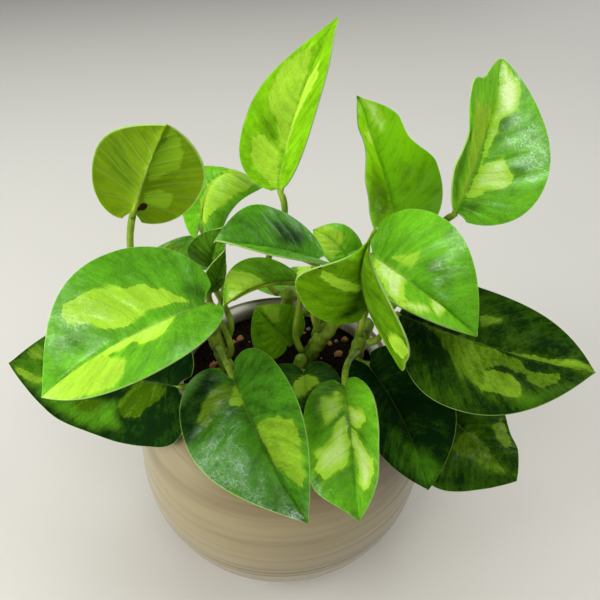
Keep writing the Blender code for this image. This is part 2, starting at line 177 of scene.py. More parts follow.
# Stems
STEM_STEPS = 90
STEM_END = ((0.45, 0.86), (0.8, 0.6), (0.98, 0.25))  # (how far past the end, radius), in radii
STEM_RIPPLE = 0.02
NODE_REACH = 0.05  # shares of the stem's run
SCAR_OFFSET = 0.045
SCAR_DEPTH = 0.03
SCAR_BROWN = 0.62
END_BROWN = 0.15

# Stage, in metres
FLOOR_RADIUS = 1.4
FLOOR_DROP = 0.0002
CAMERA_PLACE = (0.0077, -0.170, 0.2605)
CAMERA_TILT = 50.3
CAMERA_LENS = 36.6
CAMERA_SENSOR = 36.0
LIGHT_TARGET = (0, 0, 0.1)
COOL = (0.92, 0.97, 1.0)
WARM = (1.0, 0.98, 0.94)
LIGHTS = (  # (name, place, size, colour, whether it is mirrored)
    ("window", (-0.98, -0.17, 0.55), (0.7, 0.6), COOL, False),
    ("ceiling", (0.3, -0.35, 0.95), (0.4, 0.4), COOL, False),
    ("front", (0.33, -0.63, 0.7), (0.5, 0.5), WARM, False),
    ("fill", (-0.5, -0.62, 0.55), (0.35, 0.35), WARM, True),
    ("right", (0.6, -0.08, 0.9), (0.45, 0.45), COOL, True),
    ("rear", (-0.04, 0.42, 0.9), (0.85, 0.7), COOL, True),
    ("low_left", (-0.75, -0.4, 0.14), (0.4, 0.2), COOL, False),
    ("low_rear", (0.77, 0.92, 0.35), (0.9, 0.4), COOL, True),
)

Stem = namedtuple("Stem", "points radius")
STEMS = {
    "stem_left": Stem(((-17, 0, 66), (-20, 0, 80), (-25, 4, 92), (-28, 6, 106)), 2.5),
    "stem_back": Stem(((4, 20, 66), (3, 21, 80), (2, 22, 92), (3, 21, 106)), 2.6),
    "stem_middle": Stem(((6, 7, 66), (8, 8, 78), (14, 8, 90), (23, 9, 104)), 2.8),
    "stem_right": Stem(((27, 1, 66), (28, 2, 78), (30, 3, 92), (33, 2, 106)), 2.5),
    "stem_front": Stem(((6, -3, 66), (6, -3, 75), (6, -3, 84), (8, -3, 92)), 2.4),
}

# joint and tip are the ends of the midrib, face is the way that the upper side looks, halves are
# the widths of the right and the left half, and fold and curl their angles. The rest is as in the
# part's source.
Leaf = namedtuple(
    "Leaf",
    "joint tip face halves fold curl arch side lobe stem at crook wave drawn bulges",
    defaults=(60.0, 0.6, 0.0, ()),
)
LEAVES = {
    "leaf_01_round_left": Leaf(
        (-50, 11, 149), (-32, 2, 185), (0, 9, 4), (17, 20), (20, 15), (-20, -25), 4, 0, 0.9,
        "stem_left", 0.84, 55),
    "leaf_02_back_left": Leaf(
        (-28, 17, 140), (-6, 43, 142), (0, -1, 9), (14, 13), (-15, 5), (-75, -30), 10, -7, 1.0,
        "stem_left", 0.97, 110),
    "leaf_03_tall": Leaf(
        (0, 18, 154), (21, 58, 200), (-8, -3, 5), (22, 22), (17, 15), (-15, 10), 3, -1, 0.1,
        "stem_back", 0.98, 55, 0.6, 0.0, ((1, 0.28, 0.16, 2.0), (0, 0.36, 0.3, -3.5))),
    "leaf_04_upright": Leaf(
        (48, 32, 126), (28, 40, 179), (3, -9, 3), (20, 14), (23, 42), (-10, -15), 4, -1, 0.3,
        "stem_middle", 0.72, 20, 1.2, 0.0,
        ((0, 0.64, 0.16, -3.5), (0, 0.86, 0.12, 1.0), (1, 0.7, 0.14, -3.0), (1, 0.36, 0.14, 2.0))),
    "leaf_05_upright_right": Leaf(
        (61, 9, 150), (80, 54, 187), (3, -8, 5), (25, 22), (25, 42), (-20, 0), 4, 0, 0.3,
        "stem_right", 0.98, 85, 1.0, 0.0, ((1, 0.53, 0.1, 6.5), (1, 0.4, 0.1, -5.5))),
    "leaf_06_arched_right": Leaf(
        (33, 8, 134), (66, -23, 123), (1, -6, 8), (20, 23), (45, 30), (-10, 5), 7, 2, 1.2,
        "stem_middle", 0.97),
    "leaf_07_dark_centre": Leaf(
        (14, -2, 138), (-18, -18, 157), (0, -1, 10), (18, 16), (25, 30), (-15, -13), 1, 1, 1.0,
        "stem_middle", 0.82),
    "leaf_08_pale_back": Leaf(
        (28, 22, 120), (13, 33, 128), (0, -4, 9), (9, 8), (12, 12), (-20, -20), 4, 0, 1.1,
        "stem_middle", 0.63),
    "leaf_09_folded": Leaf(
        (31, -12, 125), (28, -34, 172), (1, -9, 0), (30, 20), (75, 14), (0, -23), -2, -3, 1.1,
        "stem_right", 0.95, 20, 0.6, 1.0),
    "leaf_10_small_left": Leaf(
        (-25, 11, 126), (-19, 7, 146), (-2, -8, 4), (6, 9), (10, 15), (0, 0), 2, 0, 0.8,
        "stem_left", 0.72, -20),
    "leaf_11_sliver_left": Leaf(
        (-25, 4, 120), (-18, 2, 141), (4, -6, 2), (2, 7), (30, 10), (0, 0), 2, 0, 0.8,
        "stem_left", 0.58, 20),
    "leaf_12_centre": Leaf(
        (7, 4, 125), (-18, -14, 128), (0, -1, 9), (16, 10), (5, -145), (-15, -5), 3, 1, 0.6,
        "stem_middle", 0.52, 60),
    "leaf_13_rear": Leaf(
        (6, 36, 95), (-4, 76, 73), (0, 2, 6), (20, 20), (10, 10), (-25, -25), 5, 0, 1.0,
        "stem_back", 0.8),
    "leaf_14_small_olive": Leaf(
        (3, 9, 89), (-10, 14, 104), (0, -5, 6), (12, 12), (12, 15), (-15, -5), 2, 0, 0.8,
        "stem_back", 0.45, 20),
    "leaf_15_large_left": Leaf(
        (-24, -11, 127), (-80, -32, 103), (0, -2, 10), (29, 26), (20, 32), (30, -25), 5, 0, 0.8,
        "stem_left", 0.88),
    "leaf_16_lower_left": Leaf(
        (-36, -20, 95), (-105, -4, 91), (0, -7, 7), (24, 26), (12, 8), (-20, -25), -6, 0, 0.9,
        "stem_left", 0.45, 40, 0.6, 0.0, ((1, 0.5, 0.22, -2.5), (1, 0.24, 0.12, 2.0))),
    "leaf_17_front_left": Leaf(
        (-16, -22, 102), (10, -73, 94), (-2, -3, 9), (23, 19), (35, 33), (-20, -13), 3, 1, 1.2,
        "stem_left", 0.7, 20),
    "leaf_18_front": Leaf(
        (23, -27, 104), (27, -63, 78), (-3, -5, 8), (16, 16), (20, 40), (-30, 0), 4, -1, 0.5,
        "stem_right", 0.72, 10, 0.6, 0.0, ((0, 0.72, 0.18, 3.0), (1, 0.5, 0.2, -1.5))),
    "leaf_19_dark_front": Leaf(
        (9, -9, 92), (12, -44, 90), (0, -1, 6), (17, 14), (13, 5), (-17, -15), 1, 0, 1.2,
        "stem_front", 0.75, 30),
    "leaf_20_dark_right": Leaf(
        (33, -11, 97), (53, -47, 71), (1, -4, 9), (16, 20), (17, 30), (-16, -20), 8, 0, 1.0,
        "stem_right", 0.61),
    "leaf_21_large_right": Leaf(
        (42, -8, 120), (106, -29, 112), (0, -4, 9), (26, 25), (14, 6), (-25, -35), 2, 3, -0.3,
        "stem_right", 0.86),
    "leaf_22_lower_right": Leaf(
        (58, -14, 81), (86, -42, 69), (1, -5, 9), (24, 18), (6, 8), (-22, -20), 4, 1, 1.0,
        "stem_right", 0.52, -35, 0.6, 0.0, ((1, 0.66, 0.15, -2.0), (0, 0.6, 0.2, 1.2))),
    "leaf_23_rear_left": Leaf(
        (-36, 34, 106), (-76, 64, 84), (0, -1, 6), (22, 22), (10, 10), (-25, -25), 5, 0, 1.0,
        "stem_left", 0.8),
    "leaf_24_rear_right": Leaf(
        (38, 34, 96), (80, 64, 76), (0, 2, 6), (22, 22), (10, 10), (-25, -25), 5, 0, 1.0,
        "stem_back", 0.62),
}

# How each leaf is coloured. tone goes from 0, old and dark, to 1, young and light, and is also
# painted light and shade: leaves that lie in other leaves' shadow have a low tone and weakly lit
# ones a high tone. warmth goes from 0, blue green, to 1, yellow green, and sheen from 0, dull, to
# 1, glossy, where a pair is for the right and the left half. Each patch is a pale area: how light
# it is, from 0, olive, to 1, nearly white, where the low values of the shaded lower leaves are
# partly painted shade, and the corners of its outline, in hundredths of the length and of the half
# width (minus is the left half). leaf_04's patch at its tip and leaf_06's patch near its tip are
# painted highlights. Each shade is an area whose tone differs, by its first number: painted shade
# where a fold or another leaf shadows the blade and painted light where the number is above 0, and
# partly the leaf's own darker or lighter green. Each spot is a dry brown one: its place and its
# radius in millimetres.
Look = namedtuple("Look", "tone warmth sheen patches shades spots", defaults=((), (), ()))
LOOKS = {
    "leaf_01_round_left": Look(0.66, 0.75, 0.02, patches=(
        (0.62, 94, -13, 89, -24, 72, -42, 50, -53, 41, -33, 34, -11, 48, 2, 67, -6, 79, -10),
        (0.6, 18, -10, 25, -32, 23, -55, 9, -56, 9, -25),
    ), shades=(
        (-0.25, 50, 81, 61, 60, 42, 23, 25, 7, 16, 27, 24, 62),
    ), spots=((7, -14, 1.4), (5, -8, 0.8))),
    "leaf_02_back_left": Look(0.7, 0.4, 0.3, patches=(
        (0.65, 27, -5, 40, -4, 54, -2, 75, -19, 89, -20, 92, 6, 67, 61, 44, 68, 25, 50, 5, 15, 7,
         -4, 14, -10),
    )),
    "leaf_03_tall": Look(0.6, 0.8, 0.02, patches=(
        (0.38, 83, -26, 78, -41, 72, -66, 61, -68, 53, -70, 43, -55, 38, -37, 32, -23, 23, -10,
         23, 0, 36, -2, 47, -2, 59, -3, 67, -6, 77, -13),
        (0.55, 68, 41, 57, 63, 50, 57, 43, 38, 37, 17, 31, 9, 20, 13, 22, 0, 33, 0, 43, 2, 52, 10,
         62, 5),
        (0.42, 29, -60, 25, -76, 16, -69, 11, -60, 7, -41, 2, -15, 1, -3, 5, -4, 14, -8, 21, -15,
         25, -32, 28, -50),
    ), shades=(
        (-0.25, 42, -72, 37, -39, 27, -12, 22, -12, 27, -40, 34, -64),
        (-0.2, 21, -53, 20, -38, 15, -20, 10, -21, 13, -37),
    )),
    "leaf_04_upright": Look(1.0, 0.9, 0.35, patches=(
        # Painted highlight: this palest patch, at the tip, stands for the sheen there
        (1.0, 98, 5, 94, 19, 87, 29, 77, 26, 76, 17, 84, 9, 92, 7),
        (0.8, 81, -34, 79, 0, 73, 0, 70, 0, 74, -26),
    ), shades=(
        (-0.55, 65, -43, 47, -15, 27, -17, 27, -95, 39, -107, 53, -85),
        (-0.15, 56, 27, 48, 53, 34, 53, 27, 24, 37, 13),
    )),
    "leaf_05_upright_right": Look(0.75, 0.4, (1.0, 0.2), patches=(
        (1.1, 100, 0, 99, 2, 92, 17, 86, 31, 77, 34, 68, 33, 62, 22, 58, 14, 45, 12, 34, 7, 29, 7,
         39, 4, 54, 2, 70, 0, 84, 0),
        (0.85, 38, 32, 33, 21, 29, 7, 22, 5, 15, 5, 9, 4, 12, 14, 17, 27, 19, 40, 25, 52, 29, 55,
         32, 44, 35, 38),
        (0.4, 47, -101, 51, -60, 59, -41, 57, -16, 46, -7, 35, 0, 22, 0, 11, 0, 7, -9, 13, -24,
         23, -34, 31, -53, 39, -68, 43, -90),
    ), shades=(
        (-0.35, 57, 16, 63, 29, 54, 24, 45, 18, 42, 10),
        (-0.4, 32, 49, 39, 62, 38, 68, 30, 57),
        (-0.35, 3, 3, 10, 15, 8, 28, 2, 17),
        (-0.4, 36, -76, 25, -51, 12, -44, 2, -18, 3, -64, 11, -80, 27, -73),
    )),
    "leaf_06_arched_right": Look(0.72, 0.4, 1.0, patches=(
        (0.92, 6, 0, 13, 0, 23, 0, 33, 0, 39, 0, 37, 0, 39, 11, 46, 43, 55, 71, 52, 89, 44, 88,
         34, 69, 25, 55, 16, 41),
        (0.6, 18, -12, 23, -20, 28, -29, 34, -41, 36, -30, 35, -18),
        # Painted highlight: this whitish patch near the tip stands for a sheen
        (0.95, 60, 4, 68, 0, 75, 8, 75, 39, 67, 35),
        (0.9, 52, 89, 58, 66, 66, 38, 70, 46, 64, 74, 56, 92),
    ), shades=(
        (-0.2, 39, -31, 49, -54, 64, -45, 67, -26, 56, -24),
    )),
    "leaf_07_dark_centre": Look(0.4, 0.2, 0.5, shades=(
        (-0.3, 52, 63, 21, 71, 6, 45, 18, 17, 38, 22),
    )),
    "leaf_08_pale_back": Look(1.0, 0.4, 0.4, patches=(
        (0.6, 96, -13, 86, 36, 58, 44, 37, 50, 38, 6, 29, -49, 37, -87, 61, -74),
    ), shades=(
        (-0.25, 36, 35, 20, 80, 5, 65, 13, 2, 28, -5),
    )),
    "leaf_09_folded": Look(0.46, 0.85, 0.1, patches=(
        (0.58, 65, -62, 58, -47, 47, -26, 34, -7, 29, -7, 34, -27, 42, -42, 51, -54, 59, -63),
        (0.35, 50, 76, 58, 89, 58, 100, 39, 97, 30, 80, 27, 65),
    ), shades=(
        (-0.25, 0, 0, 40, 0, 100, 0, 80, 100, 0, 100),
        (-0.35, 29, -20, 23, 0, 13, 0, 1, -15, -2, -38, 6, -51, 16, -25),
    ), spots=((67, -66, 0.7),)),
    "leaf_10_small_left": Look(0.3, 0.6, 0.2),
    "leaf_11_sliver_left": Look(0.3, 0.6, 0.2),
    "leaf_12_centre": Look(0.4, 0.6, 0.1, patches=(
        (0.42, 73, 69, 64, 76, 54, 55, 48, 32, 46, 7, 43, -16, 57, -16, 67, 3, 77, 13, 84, 32, 81,
         54),
        (0.9, 86, 24, 78, 10, 67, 2, 76, -11, 88, -18, 96, -9, 91, 9),
    )),
    "leaf_13_rear": Look(0.5, 0.5, 0.4, patches=(
        (0.7, 14, 8, 28, 18, 44, 30, 62, 34, 70, 52, 60, 66, 44, 58, 30, 46, 18, 28),
        (0.6, 22, -12, 36, -20, 52, -22, 60, -40, 46, -58, 32, -48, 20, -30),
    ), shades=(
        (-0.2, 60, -60, 80, -30, 90, 0, 70, 10, 50, -10),
    )),
    "leaf_14_small_olive": Look(0.45, 0.8, 0.1, patches=(
        (0.38, 93, 23, 86, 43, 71, 52, 51, 30, 58, 7, 80, 16),
    )),
    "leaf_15_large_left": Look(0.62, 0.3, 0.8, patches=(
        (0.6, 64, 71, 55, 68, 47, 69, 41, 64, 33, 54, 25, 50, 21, 42, 16, 34, 11, 20, 8, 10, 13,
         14, 22, 17, 28, 19, 34, 16, 40, 13, 47, 17, 53, 25, 57, 37, 63, 44, 67, 52, 68, 62),
        (0.66, 14, 0, 22, 0, 35, 0, 47, 0, 55, -4, 58, -14, 55, -24, 47, -30, 40, -26, 36, -38,
         30, -44, 24, -40, 20, -26, 17, -10),
        (0.5, 60, -3, 70, 0, 80, 0, 90, 0, 98, -3, 92, -30, 84, -48, 74, -66, 60, -84, 53, -88,
         46, -78, 44, -60, 50, -40, 57, -24),
    ), shades=(
        (-0.4, 6, 27, -2, 28, -3, 13, 1, 1, 5, 10),
        (-0.18, 68, 46, 54, 24, 45, 12, 61, 8, 74, 10, 77, 36),
        (-0.12, 32, -49, 14, -65, 13, -80, 30, -90, 39, -89),
    )),
    "leaf_16_lower_left": Look(0.0, 0.4, 0.02, patches=(
        (0.0, 24, -2, 17, 0, 12, -2, 8, -6, 11, -22, 18, -37, 22, -49, 31, -54, 35, -50, 34, -34,
         31, -19, 28, -9),
        (0.0, 61, -41, 55, -39, 47, -37, 44, -41, 47, -51, 53, -55, 59, -54),
        (0.3, 97, -3, 93, -7, 85, -14, 80, -16, 80, -24, 87, -21, 94, -13),
        (0.15, 92, 22, 87, 30, 83, 26, 84, 15, 89, 13),
    ), shades=(
        (0.3, 100, 0, 83, 43, 79, -26, 62, -40, 38, -35, 34, -68, 48, -80, 64, -71, 81, -43),
    )),
    "leaf_17_front_left": Look(0.3, 0.2, (1.0, 0.15), patches=(
        (0.22, 41, -21, 40, -10, 47, -5, 56, -5, 67, -2, 72, -15, 79, -18, 84, -28, 80, -42, 74,
         -50, 67, -64, 61, -74, 55, -71, 47, -55, 44, -36),
        (0.15, 8, 40, 5, 17, 7, 6, 14, 12, 20, 30, 25, 50, 31, 65, 26, 75, 16, 60),
        (0.45, 7, 2, 13, 0, 21, 0, 24, 10, 20, 22, 14, 12),
    ), shades=(
        (-0.28, -10, 30, 1, 22, 13, 50, 27, 70, 36, 90, 36, 110, 13, 105),
        (-0.12, 24, -15, 51, -96, 56, -86, 39, -24),
    )),
    "leaf_18_front": Look(0.58, 0.4, (1.0, 0.25), patches=(
        (0.8, 8, 51, 9, 34, 6, 19, 9, 12, 20, 17, 26, 30, 28, 47, 20, 54),
        (0.85, 16, 0, 20, -26, 22, -47, 29, -60, 35, -36, 32, -13, 24, -2),
        (0.9, 24, 10, 34, 7, 46, 5, 56, 10, 61, 25, 66, 49, 69, 67, 61, 79, 55, 72, 49, 77, 44,
         48, 35, 33, 28, 22),
        (0.95, 33, -8, 40, -27, 49, -48, 58, -66, 67, -66, 74, -47, 80, -24, 71, -18, 61, -18, 49,
         -11, 43, 0),
    ), shades=(
        (-0.35, -1, 30, -1, 11, 6, 12, 6, 24, 6, 46),
        (-0.25, 10, 82, 8, 59, 29, 57, 42, 69, 39, 87),
    )),
    "leaf_19_dark_front": Look(0.12, 0.3, 0.1, patches=(
        (0.55, 21, 25, 8, 2, 10, -27, 21, -32, 32, -5, 40, 19, 32, 28),
    )),
    "leaf_20_dark_right": Look(0.0, 0.3, 0.0, shades=(
        (0.25, 64, 23, 70, -9, 81, -27, 90, -30, 99, -3, 95, 18, 82, 24),
        (0.12, 45, 48, 53, 23, 68, 19, 84, 35, 75, 65, 61, 68),
    )),
    "leaf_21_large_right": Look(0.035, 0.6, 0.02, patches=(
        (0.08, 14, 0, 22, 0, 33, 0, 43, 4, 53, 5, 63, 10, 69, 26, 62, 27, 54, 24, 49, 33, 46, 43,
         48, 60, 41, 59, 35, 51, 30, 34, 23, 17),
        (0.19, 48, 42, 53, 34, 59, 32, 63, 39, 66, 50, 66, 59, 60, 63, 54, 64, 49, 65, 48, 52),
        (0.22, 58, 0, 68, -2, 78, -4, 87, -9, 96, -9, 100, 0, 94, 0, 82, 0, 73, 0, 63, 0),
        (0.1, 68, 20, 77, 22, 83, 14, 83, 27, 75, 39, 68, 34),
        (0.1, 40, -41, 45, -43, 51, -42, 46, -31, 42, -26),
    ), shades=(
        (0.12, 53, 70, 67, 55, 84, 31, 91, 27, 76, 58, 64, 74),
    )),
    "leaf_22_lower_right": Look(0.08, 0.6, 0.1, patches=(
        (0.06, 41, 22, 41, 2, 52, -9, 65, -4, 79, -1, 87, 4, 81, 17, 71, 21, 60, 26, 50, 37, 43,
         34),
        (0.15, 55, -47, 55, -75, 66, -61, 77, -43, 75, -31, 66, -33),
    )),
    "leaf_23_rear_left": Look(0.3, 0.4, 0.4, patches=(
        (0.1, 20, 10, 40, 16, 58, 30, 66, 52, 52, 66, 38, 52, 26, 34),
        (0.15, 12, -14, 30, -16, 46, -30, 50, -56, 34, -62, 20, -44),
        (0.5, 62, -12, 78, -14, 88, -26, 74, -36, 62, -28),
    )),
    "leaf_24_rear_right": Look(0.35, 0.4, 0.4, patches=(
        (0.6, 16, 12, 34, 14, 52, 16, 66, 30, 56, 44, 38, 40, 22, 30),
        (0.5, 34, -20, 52, -26, 70, -26, 78, -44, 58, -62, 40, -48),
    ), shades=(
        (-0.2, 10, -70, 36, -80, 30, -30, 10, -20),
    )),
}
# Millimetres over which a patch or a shade goes from 0 to 1
PATCH_REACH = 6.0
SHADE_REACH = 4.0


class Signal:
    """One output of a material's node. Python expressions on it add the Math nodes."""

    def __init__(self, tree, socket=None):
        self.tree = tree
        self.socket = socket

    def add(self, kind, settings=None, sockets=None, output=0):
        """Adds a node: first its settings, then the values or links of its sockets."""
        node = self.tree.nodes.new(kind)
        for key, value in (settings or {}).items():
            setattr(node, key, value)
        for key, value in (sockets or {}).items():
            if isinstance(value, Signal):
                self.tree.links.new(value.socket, node.inputs[key])
            else:
                node.inputs[key].default_value = value
        return Signal(self.tree, node.outputs[output])

    def output(self, name):
        """Another output of the same node."""
        return Signal(self.tree, self.socket.node.outputs[name])

    def number(self, name):
        """A number that paint keeps on the mesh."""
        return self.add("ShaderNodeAttribute", {"attribute_name": name}, output="Fac")

    def feed(self, shader, name):
        self.tree.links.new(self.socket, shader.inputs[name])

    def maths(self, operation, *values):
        return self.add("ShaderNodeMath", {"operation": operation}, dict(enumerate(values)))

    def __add__(self, other):
        return self.maths("ADD", self, other)

    __radd__ = __add__

    def __sub__(self, other):
        return self.maths("SUBTRACT", self, other)

    def __rsub__(self, other):
        return self.maths("SUBTRACT", other, self)

    def __mul__(self, other):
        return self.maths("MULTIPLY", self, other)

    __rmul__ = __mul__

    def __abs__(self):
        return self.maths("ABSOLUTE", self)

    def rise(self, low, high):
        """0 below low, 1 above high and a smooth step between them."""
        return self.add("ShaderNodeMapRange", {"interpolation_type": "SMOOTHSTEP"},
                        {0: self, 1: low, 2: high, 3: 0.0, 4: 1.0})

    def grain(self, scale, detail=2.0, stretch=None):
        """Noise from 0 to 1 on these coordinates."""
        place = self
        if stretch:
            place = self.add("ShaderNodeVectorMath", {"operation": "MULTIPLY"},
                             {0: self, 1: stretch})
        return self.add("ShaderNodeTexNoise", None,
                        {"Vector": place, "Scale": scale, "Detail": detail})

    def sway(self, share):
        """This noise about 0, times share."""
        return (self - 0.5) * share

    def tint(self, near, far):
        """A colour between near and far, by this signal."""
        near, far = (colour if isinstance(colour, Signal) else (*colour[:3], 1.0)
                     for colour in (near, far))
        return self.add("ShaderNodeMix", {"data_type": "RGBA", "clamp_factor": True},
                        {0: self, 6: near, 7: far}, 2)

    def emboss(self, shader, distance, strength):
        """Feeds this height to the shader's Normal."""
        bump = self.add("ShaderNodeBump", None,
                        {"Strength": strength, "Distance": distance, "Height": self})
        bump.feed(shader, "Normal")


def new_finish(name, roughness, **fixed):
    """A material, its Principled shader and its object coordinates."""
    material = bpy.data.materials.new(name)
    material.use_nodes = True
    shader = material.node_tree.nodes["Principled BSDF"]
    for key, value in {"Roughness": roughness, **fixed}.items():
        shader.inputs[key.replace("_", " ")].default_value = value
    return material, shader, Signal(material.node_tree).add("ShaderNodeTexCoord", output="Object")


def layered(colour, *layers):
    """Lays colours over a first one, each as far as its mask says."""
    for mask, over in layers:
        colour = mask.tint(colour, over)
    return colour


def blade_finish(name, settings, roughness, **fixed):
    """What both sides of a blade share: the finish, the distance off the midrib and along it, and
    noise that is drawn out along the side veins, coarse and fine."""
    material, shader, place = new_finish(
        name, roughness, Subsurface_Weight=settings.glow, Subsurface_Scale=MM,
        Subsurface_Radius=GLOW_REACH, **fixed)
    flat = place.add("ShaderNodeUVMap", {"uv_map": "UVMap"})
    parts = place.add("ShaderNodeSeparateXYZ", None, {0: flat})
    side = parts * 2.0 - 1.0
    across, run = abs(side), parts.output("Y")
    seed = place.number("seed") + side.rise(-0.01, 0.01) * 5.0
    coarse, fine = (
        place.add("ShaderNodeCombineXYZ", None, {0: run * along, 1: across * sideways, 2: seed})
        .grain(1.0, 3.0) for along, sideways in VEIN_GRAINS)
    return material, shader, place, across, run, coarse, fine


def side_vein_lines(across, run, width, fade):
    """1 on the side veins and 0 between them, fainter towards the margin."""
    turns = run * SIDE_VEINS
    lines = abs(turns.maths("FRACT", turns) - 0.5).rise(0.5 - width, 0.5)
    return lines * (1.0 - across * fade)


def dry_spots(place, cloud):
    return (place.number("dry") + cloud.sway(0.3)).rise(0.45, 0.55)


def leaf_top_finish(settings):
    material, shader, place, across, run, coarse, fine = blade_finish(
        "leaf_upper", settings, settings.gloss, Specular_IOR_Level=0.0, Coat_Roughness=0.27,
        Coat_IOR=1.7)
    tone, warmth, sheen, pale, lime = map(place.number, ("tone", "warmth", "sheen", "pale", "lime"))
    cloud = place.grain(90.0, 3.0)
    wobble = place.grain(260.0, 1.0)
    cells = place.grain(1100.0, 3.0)
    crinkle = place.grain(750.0, 1.0)
    uneven = cloud.sway(0.9) + wobble.sway(0.35) + coarse.sway(0.9) + fine.sway(0.5)
    # tone holds each leaf's painted light and shade as well as its age
    depth = tone + (uneven + cells.sway(0.5)) * (tone * 0.7 + 0.25)
    cool = depth.tint(settings.dark_green, settings.fresh_green)
    warm = depth.tint(settings.dark_olive, settings.fresh_olive)
    # Patches: their own colour, a lighter core, a faint halo, and an edge that is sharp in places.
    # Two are painted highlights, and the low paleness of the shaded lower leaves' patches is partly
    # painted shade
    light = (pale * 1.5 + uneven * 0.5 + cells.sway(0.3)).tint(settings.olive, settings.lime)
    core = (lime + uneven * 0.8 + cells.sway(0.3)).rise(0.5, 1.1) * (pale - 0.62)
    light = (core * 2.0).tint(light, settings.pale_lime)
    edge = wobble.sway(0.25) + coarse.sway(0.35) + fine.sway(0.2)
    halo = (lime + edge * 1.4).rise(0.1, 0.5) * 0.12
    blend = cloud.rise(0.42, 0.66) * 0.22 + 0.03
    patch = (lime + edge).rise(0.48 - blend, 0.48 + blend)
    # Painted shade: dark green along the side veins stands for the shade in their creases
    veins = side_vein_lines(across, run, 0.07, 0.6) * (coarse + 0.3)
    rib = (1.0 - across.rise(0.01, 0.03)) * (tone * 0.45 + 0.08)
    colour = layered(
        warmth.tint(cool, warm), (patch + halo, light), (veins * 0.22, settings.dark_green),
        (rib, settings.rib), (across.rise(0.99, 0.999) * 0.4, settings.margin),
        (dry_spots(place, cloud), settings.dry))
    colour.feed(shader, "Base Color")
    (settings.gloss + cells.sway(0.25) + cloud.sway(0.15)).feed(shader, "Roughness")
    # Sheen that breaks up along thin winding lines
    worms = (1.0 - abs(crinkle - 0.5).rise(0.0, 0.12)) * wobble.rise(0.4, 0.6)
    (sheen * (worms * 0.9 + cells * 1.2 + coarse * 0.6 - 0.45)).feed(shader, "Coat Weight")
    relief = cells * 0.5 + fine * 0.6 + coarse * 0.8 + crinkle * 0.8 + worms * sheen * 0.5
    relief.emboss(shader, 0.00025, 0.8)
    return material


def leaf_under_finish(settings):
    material, shader, place, across, run, coarse, fine = blade_finish(
        "leaf_underside", settings, 0.48, Specular_IOR_Level=0.1)
    tone, lime = map(place.number, ("tone", "lime"))
    cloud = place.grain(80.0, 3.0)
    depth = tone + cloud.sway(0.6) + coarse.sway(0.6) + fine.sway(0.4)
    patch = (lime + coarse.sway(0.6) + cloud.sway(0.5)).rise(0.35, 0.55)
    veins = side_vein_lines(across, run, 0.13, 0.7)
    colour = layered(
        depth.tint(settings.under_dark, settings.under_light), (patch * 0.6 * tone, settings.lime),
        (veins * 0.18, settings.rib), (across.rise(0.965, 0.99) * 0.6, settings.margin),
        (dry_spots(place, cloud), settings.dry))
    colour.feed(shader, "Base Color")
    (veins + place.grain(420.0, 2.0) * 0.5 + coarse).emboss(shader, 0.0003, 0.8)
    return material


def leaf_margin_finish(settings):
    material, shader, place = new_finish("leaf_margin", 0.4, Specular_IOR_Level=0.2)
    depth = place.number("tone") * 0.5 + place.grain(300.0) * 0.3 + 0.25
    depth.tint(settings.dark_olive, settings.margin).feed(shader, "Base Color")
    return material


def striped(place, settings, cloud_scale, *streaks):
    """Streaks along a stalk, and its green that follows them."""
    streak = place.grain(*streaks)
    depth = (place.grain(cloud_scale, 3.0) + streak.sway(0.5)).rise(0.1, 0.9)
    return streak, depth.tint(settings.stalk_dark, settings.stalk_light)


def stalk_finish(settings):
    material, shader, place = new_finish("leaf_stalk", 0.4, Specular_IOR_Level=0.2)
    streak, colour = striped(place, settings, 120.0, 700.0, 3.0, (1.0, 1.0, 0.15))
    colour.feed(shader, "Base Color")
    streak.emboss(shader, 0.0003, 0.5)
    return material


def stem_finish(settings):
    material, shader, place = new_finish("vine_stem", 0.5, Specular_IOR_Level=0.2)
    streak, colour = striped(place, settings, 110.0, 800.0, 4.0, (1.0, 1.0, 0.12))
    scar = place.number("scar")
    fleck = place.grain(1500.0, 2.0).rise(0.62, 0.72)
    colour = layered(colour, (fleck * 0.2, settings.rib),
                     ((scar + streak.sway(0.5)).rise(0.45, 0.75), settings.bark))
    colour.feed(shader, "Base Color")
    (streak + scar * 0.5).emboss(shader, 0.0004, 0.6)
    return material


def glaze_finish(settings):
    """Satin glaze: cloudy sand colour, thinner and browner in the turned rings."""
    material, shader, place = new_finish(
        "stoneware_glaze", 0.35, Coat_Weight=0.7, Coat_Roughness=0.18)
    cloud = place.grain(22.0, 3.0, (1.0, 1.0, 2.5))
    swathe = place.grain(34.0, 2.0, (0.35, 0.35, 3.2))
    bands = place.grain(260.0, 3.0, (0.02, 0.02, 1.0))
    speck = place.grain(900.0, 2.0)
    depth = swathe.rise(0.36, 0.6) * 0.7 + cloud * 0.4 + bands * 0.5 - 0.25
    worn = place.number("ring") * (0.6 + cloud * 0.6)
    colour = layered(
        depth.tint(settings.glaze_tan, settings.glaze_sand), (worn * 0.9, settings.glaze_brown),
        (speck.rise(0.68, 0.8) * 0.15, settings.glaze_brown))
    colour.feed(shader, "Base Color")
    (0.35 + cloud.sway(0.15) + speck.sway(0.12)).feed(shader, "Roughness")
    (bands + speck * 0.2 + swathe * 2.0).emboss(shader, 0.00025, 0.4)
    return material


def inner_glaze_finish(settings):
    material, shader, place = new_finish("stoneware_inside", 0.35)
    cloud = place.grain(60.0, 3.0)
    cloud.tint(settings.glaze_sand, settings.inside).feed(shader, "Base Color")
    place.grain(300.0, 2.0, (0.1, 0.1, 1.0)).emboss(shader, 0.0002, 0.4)
    return material


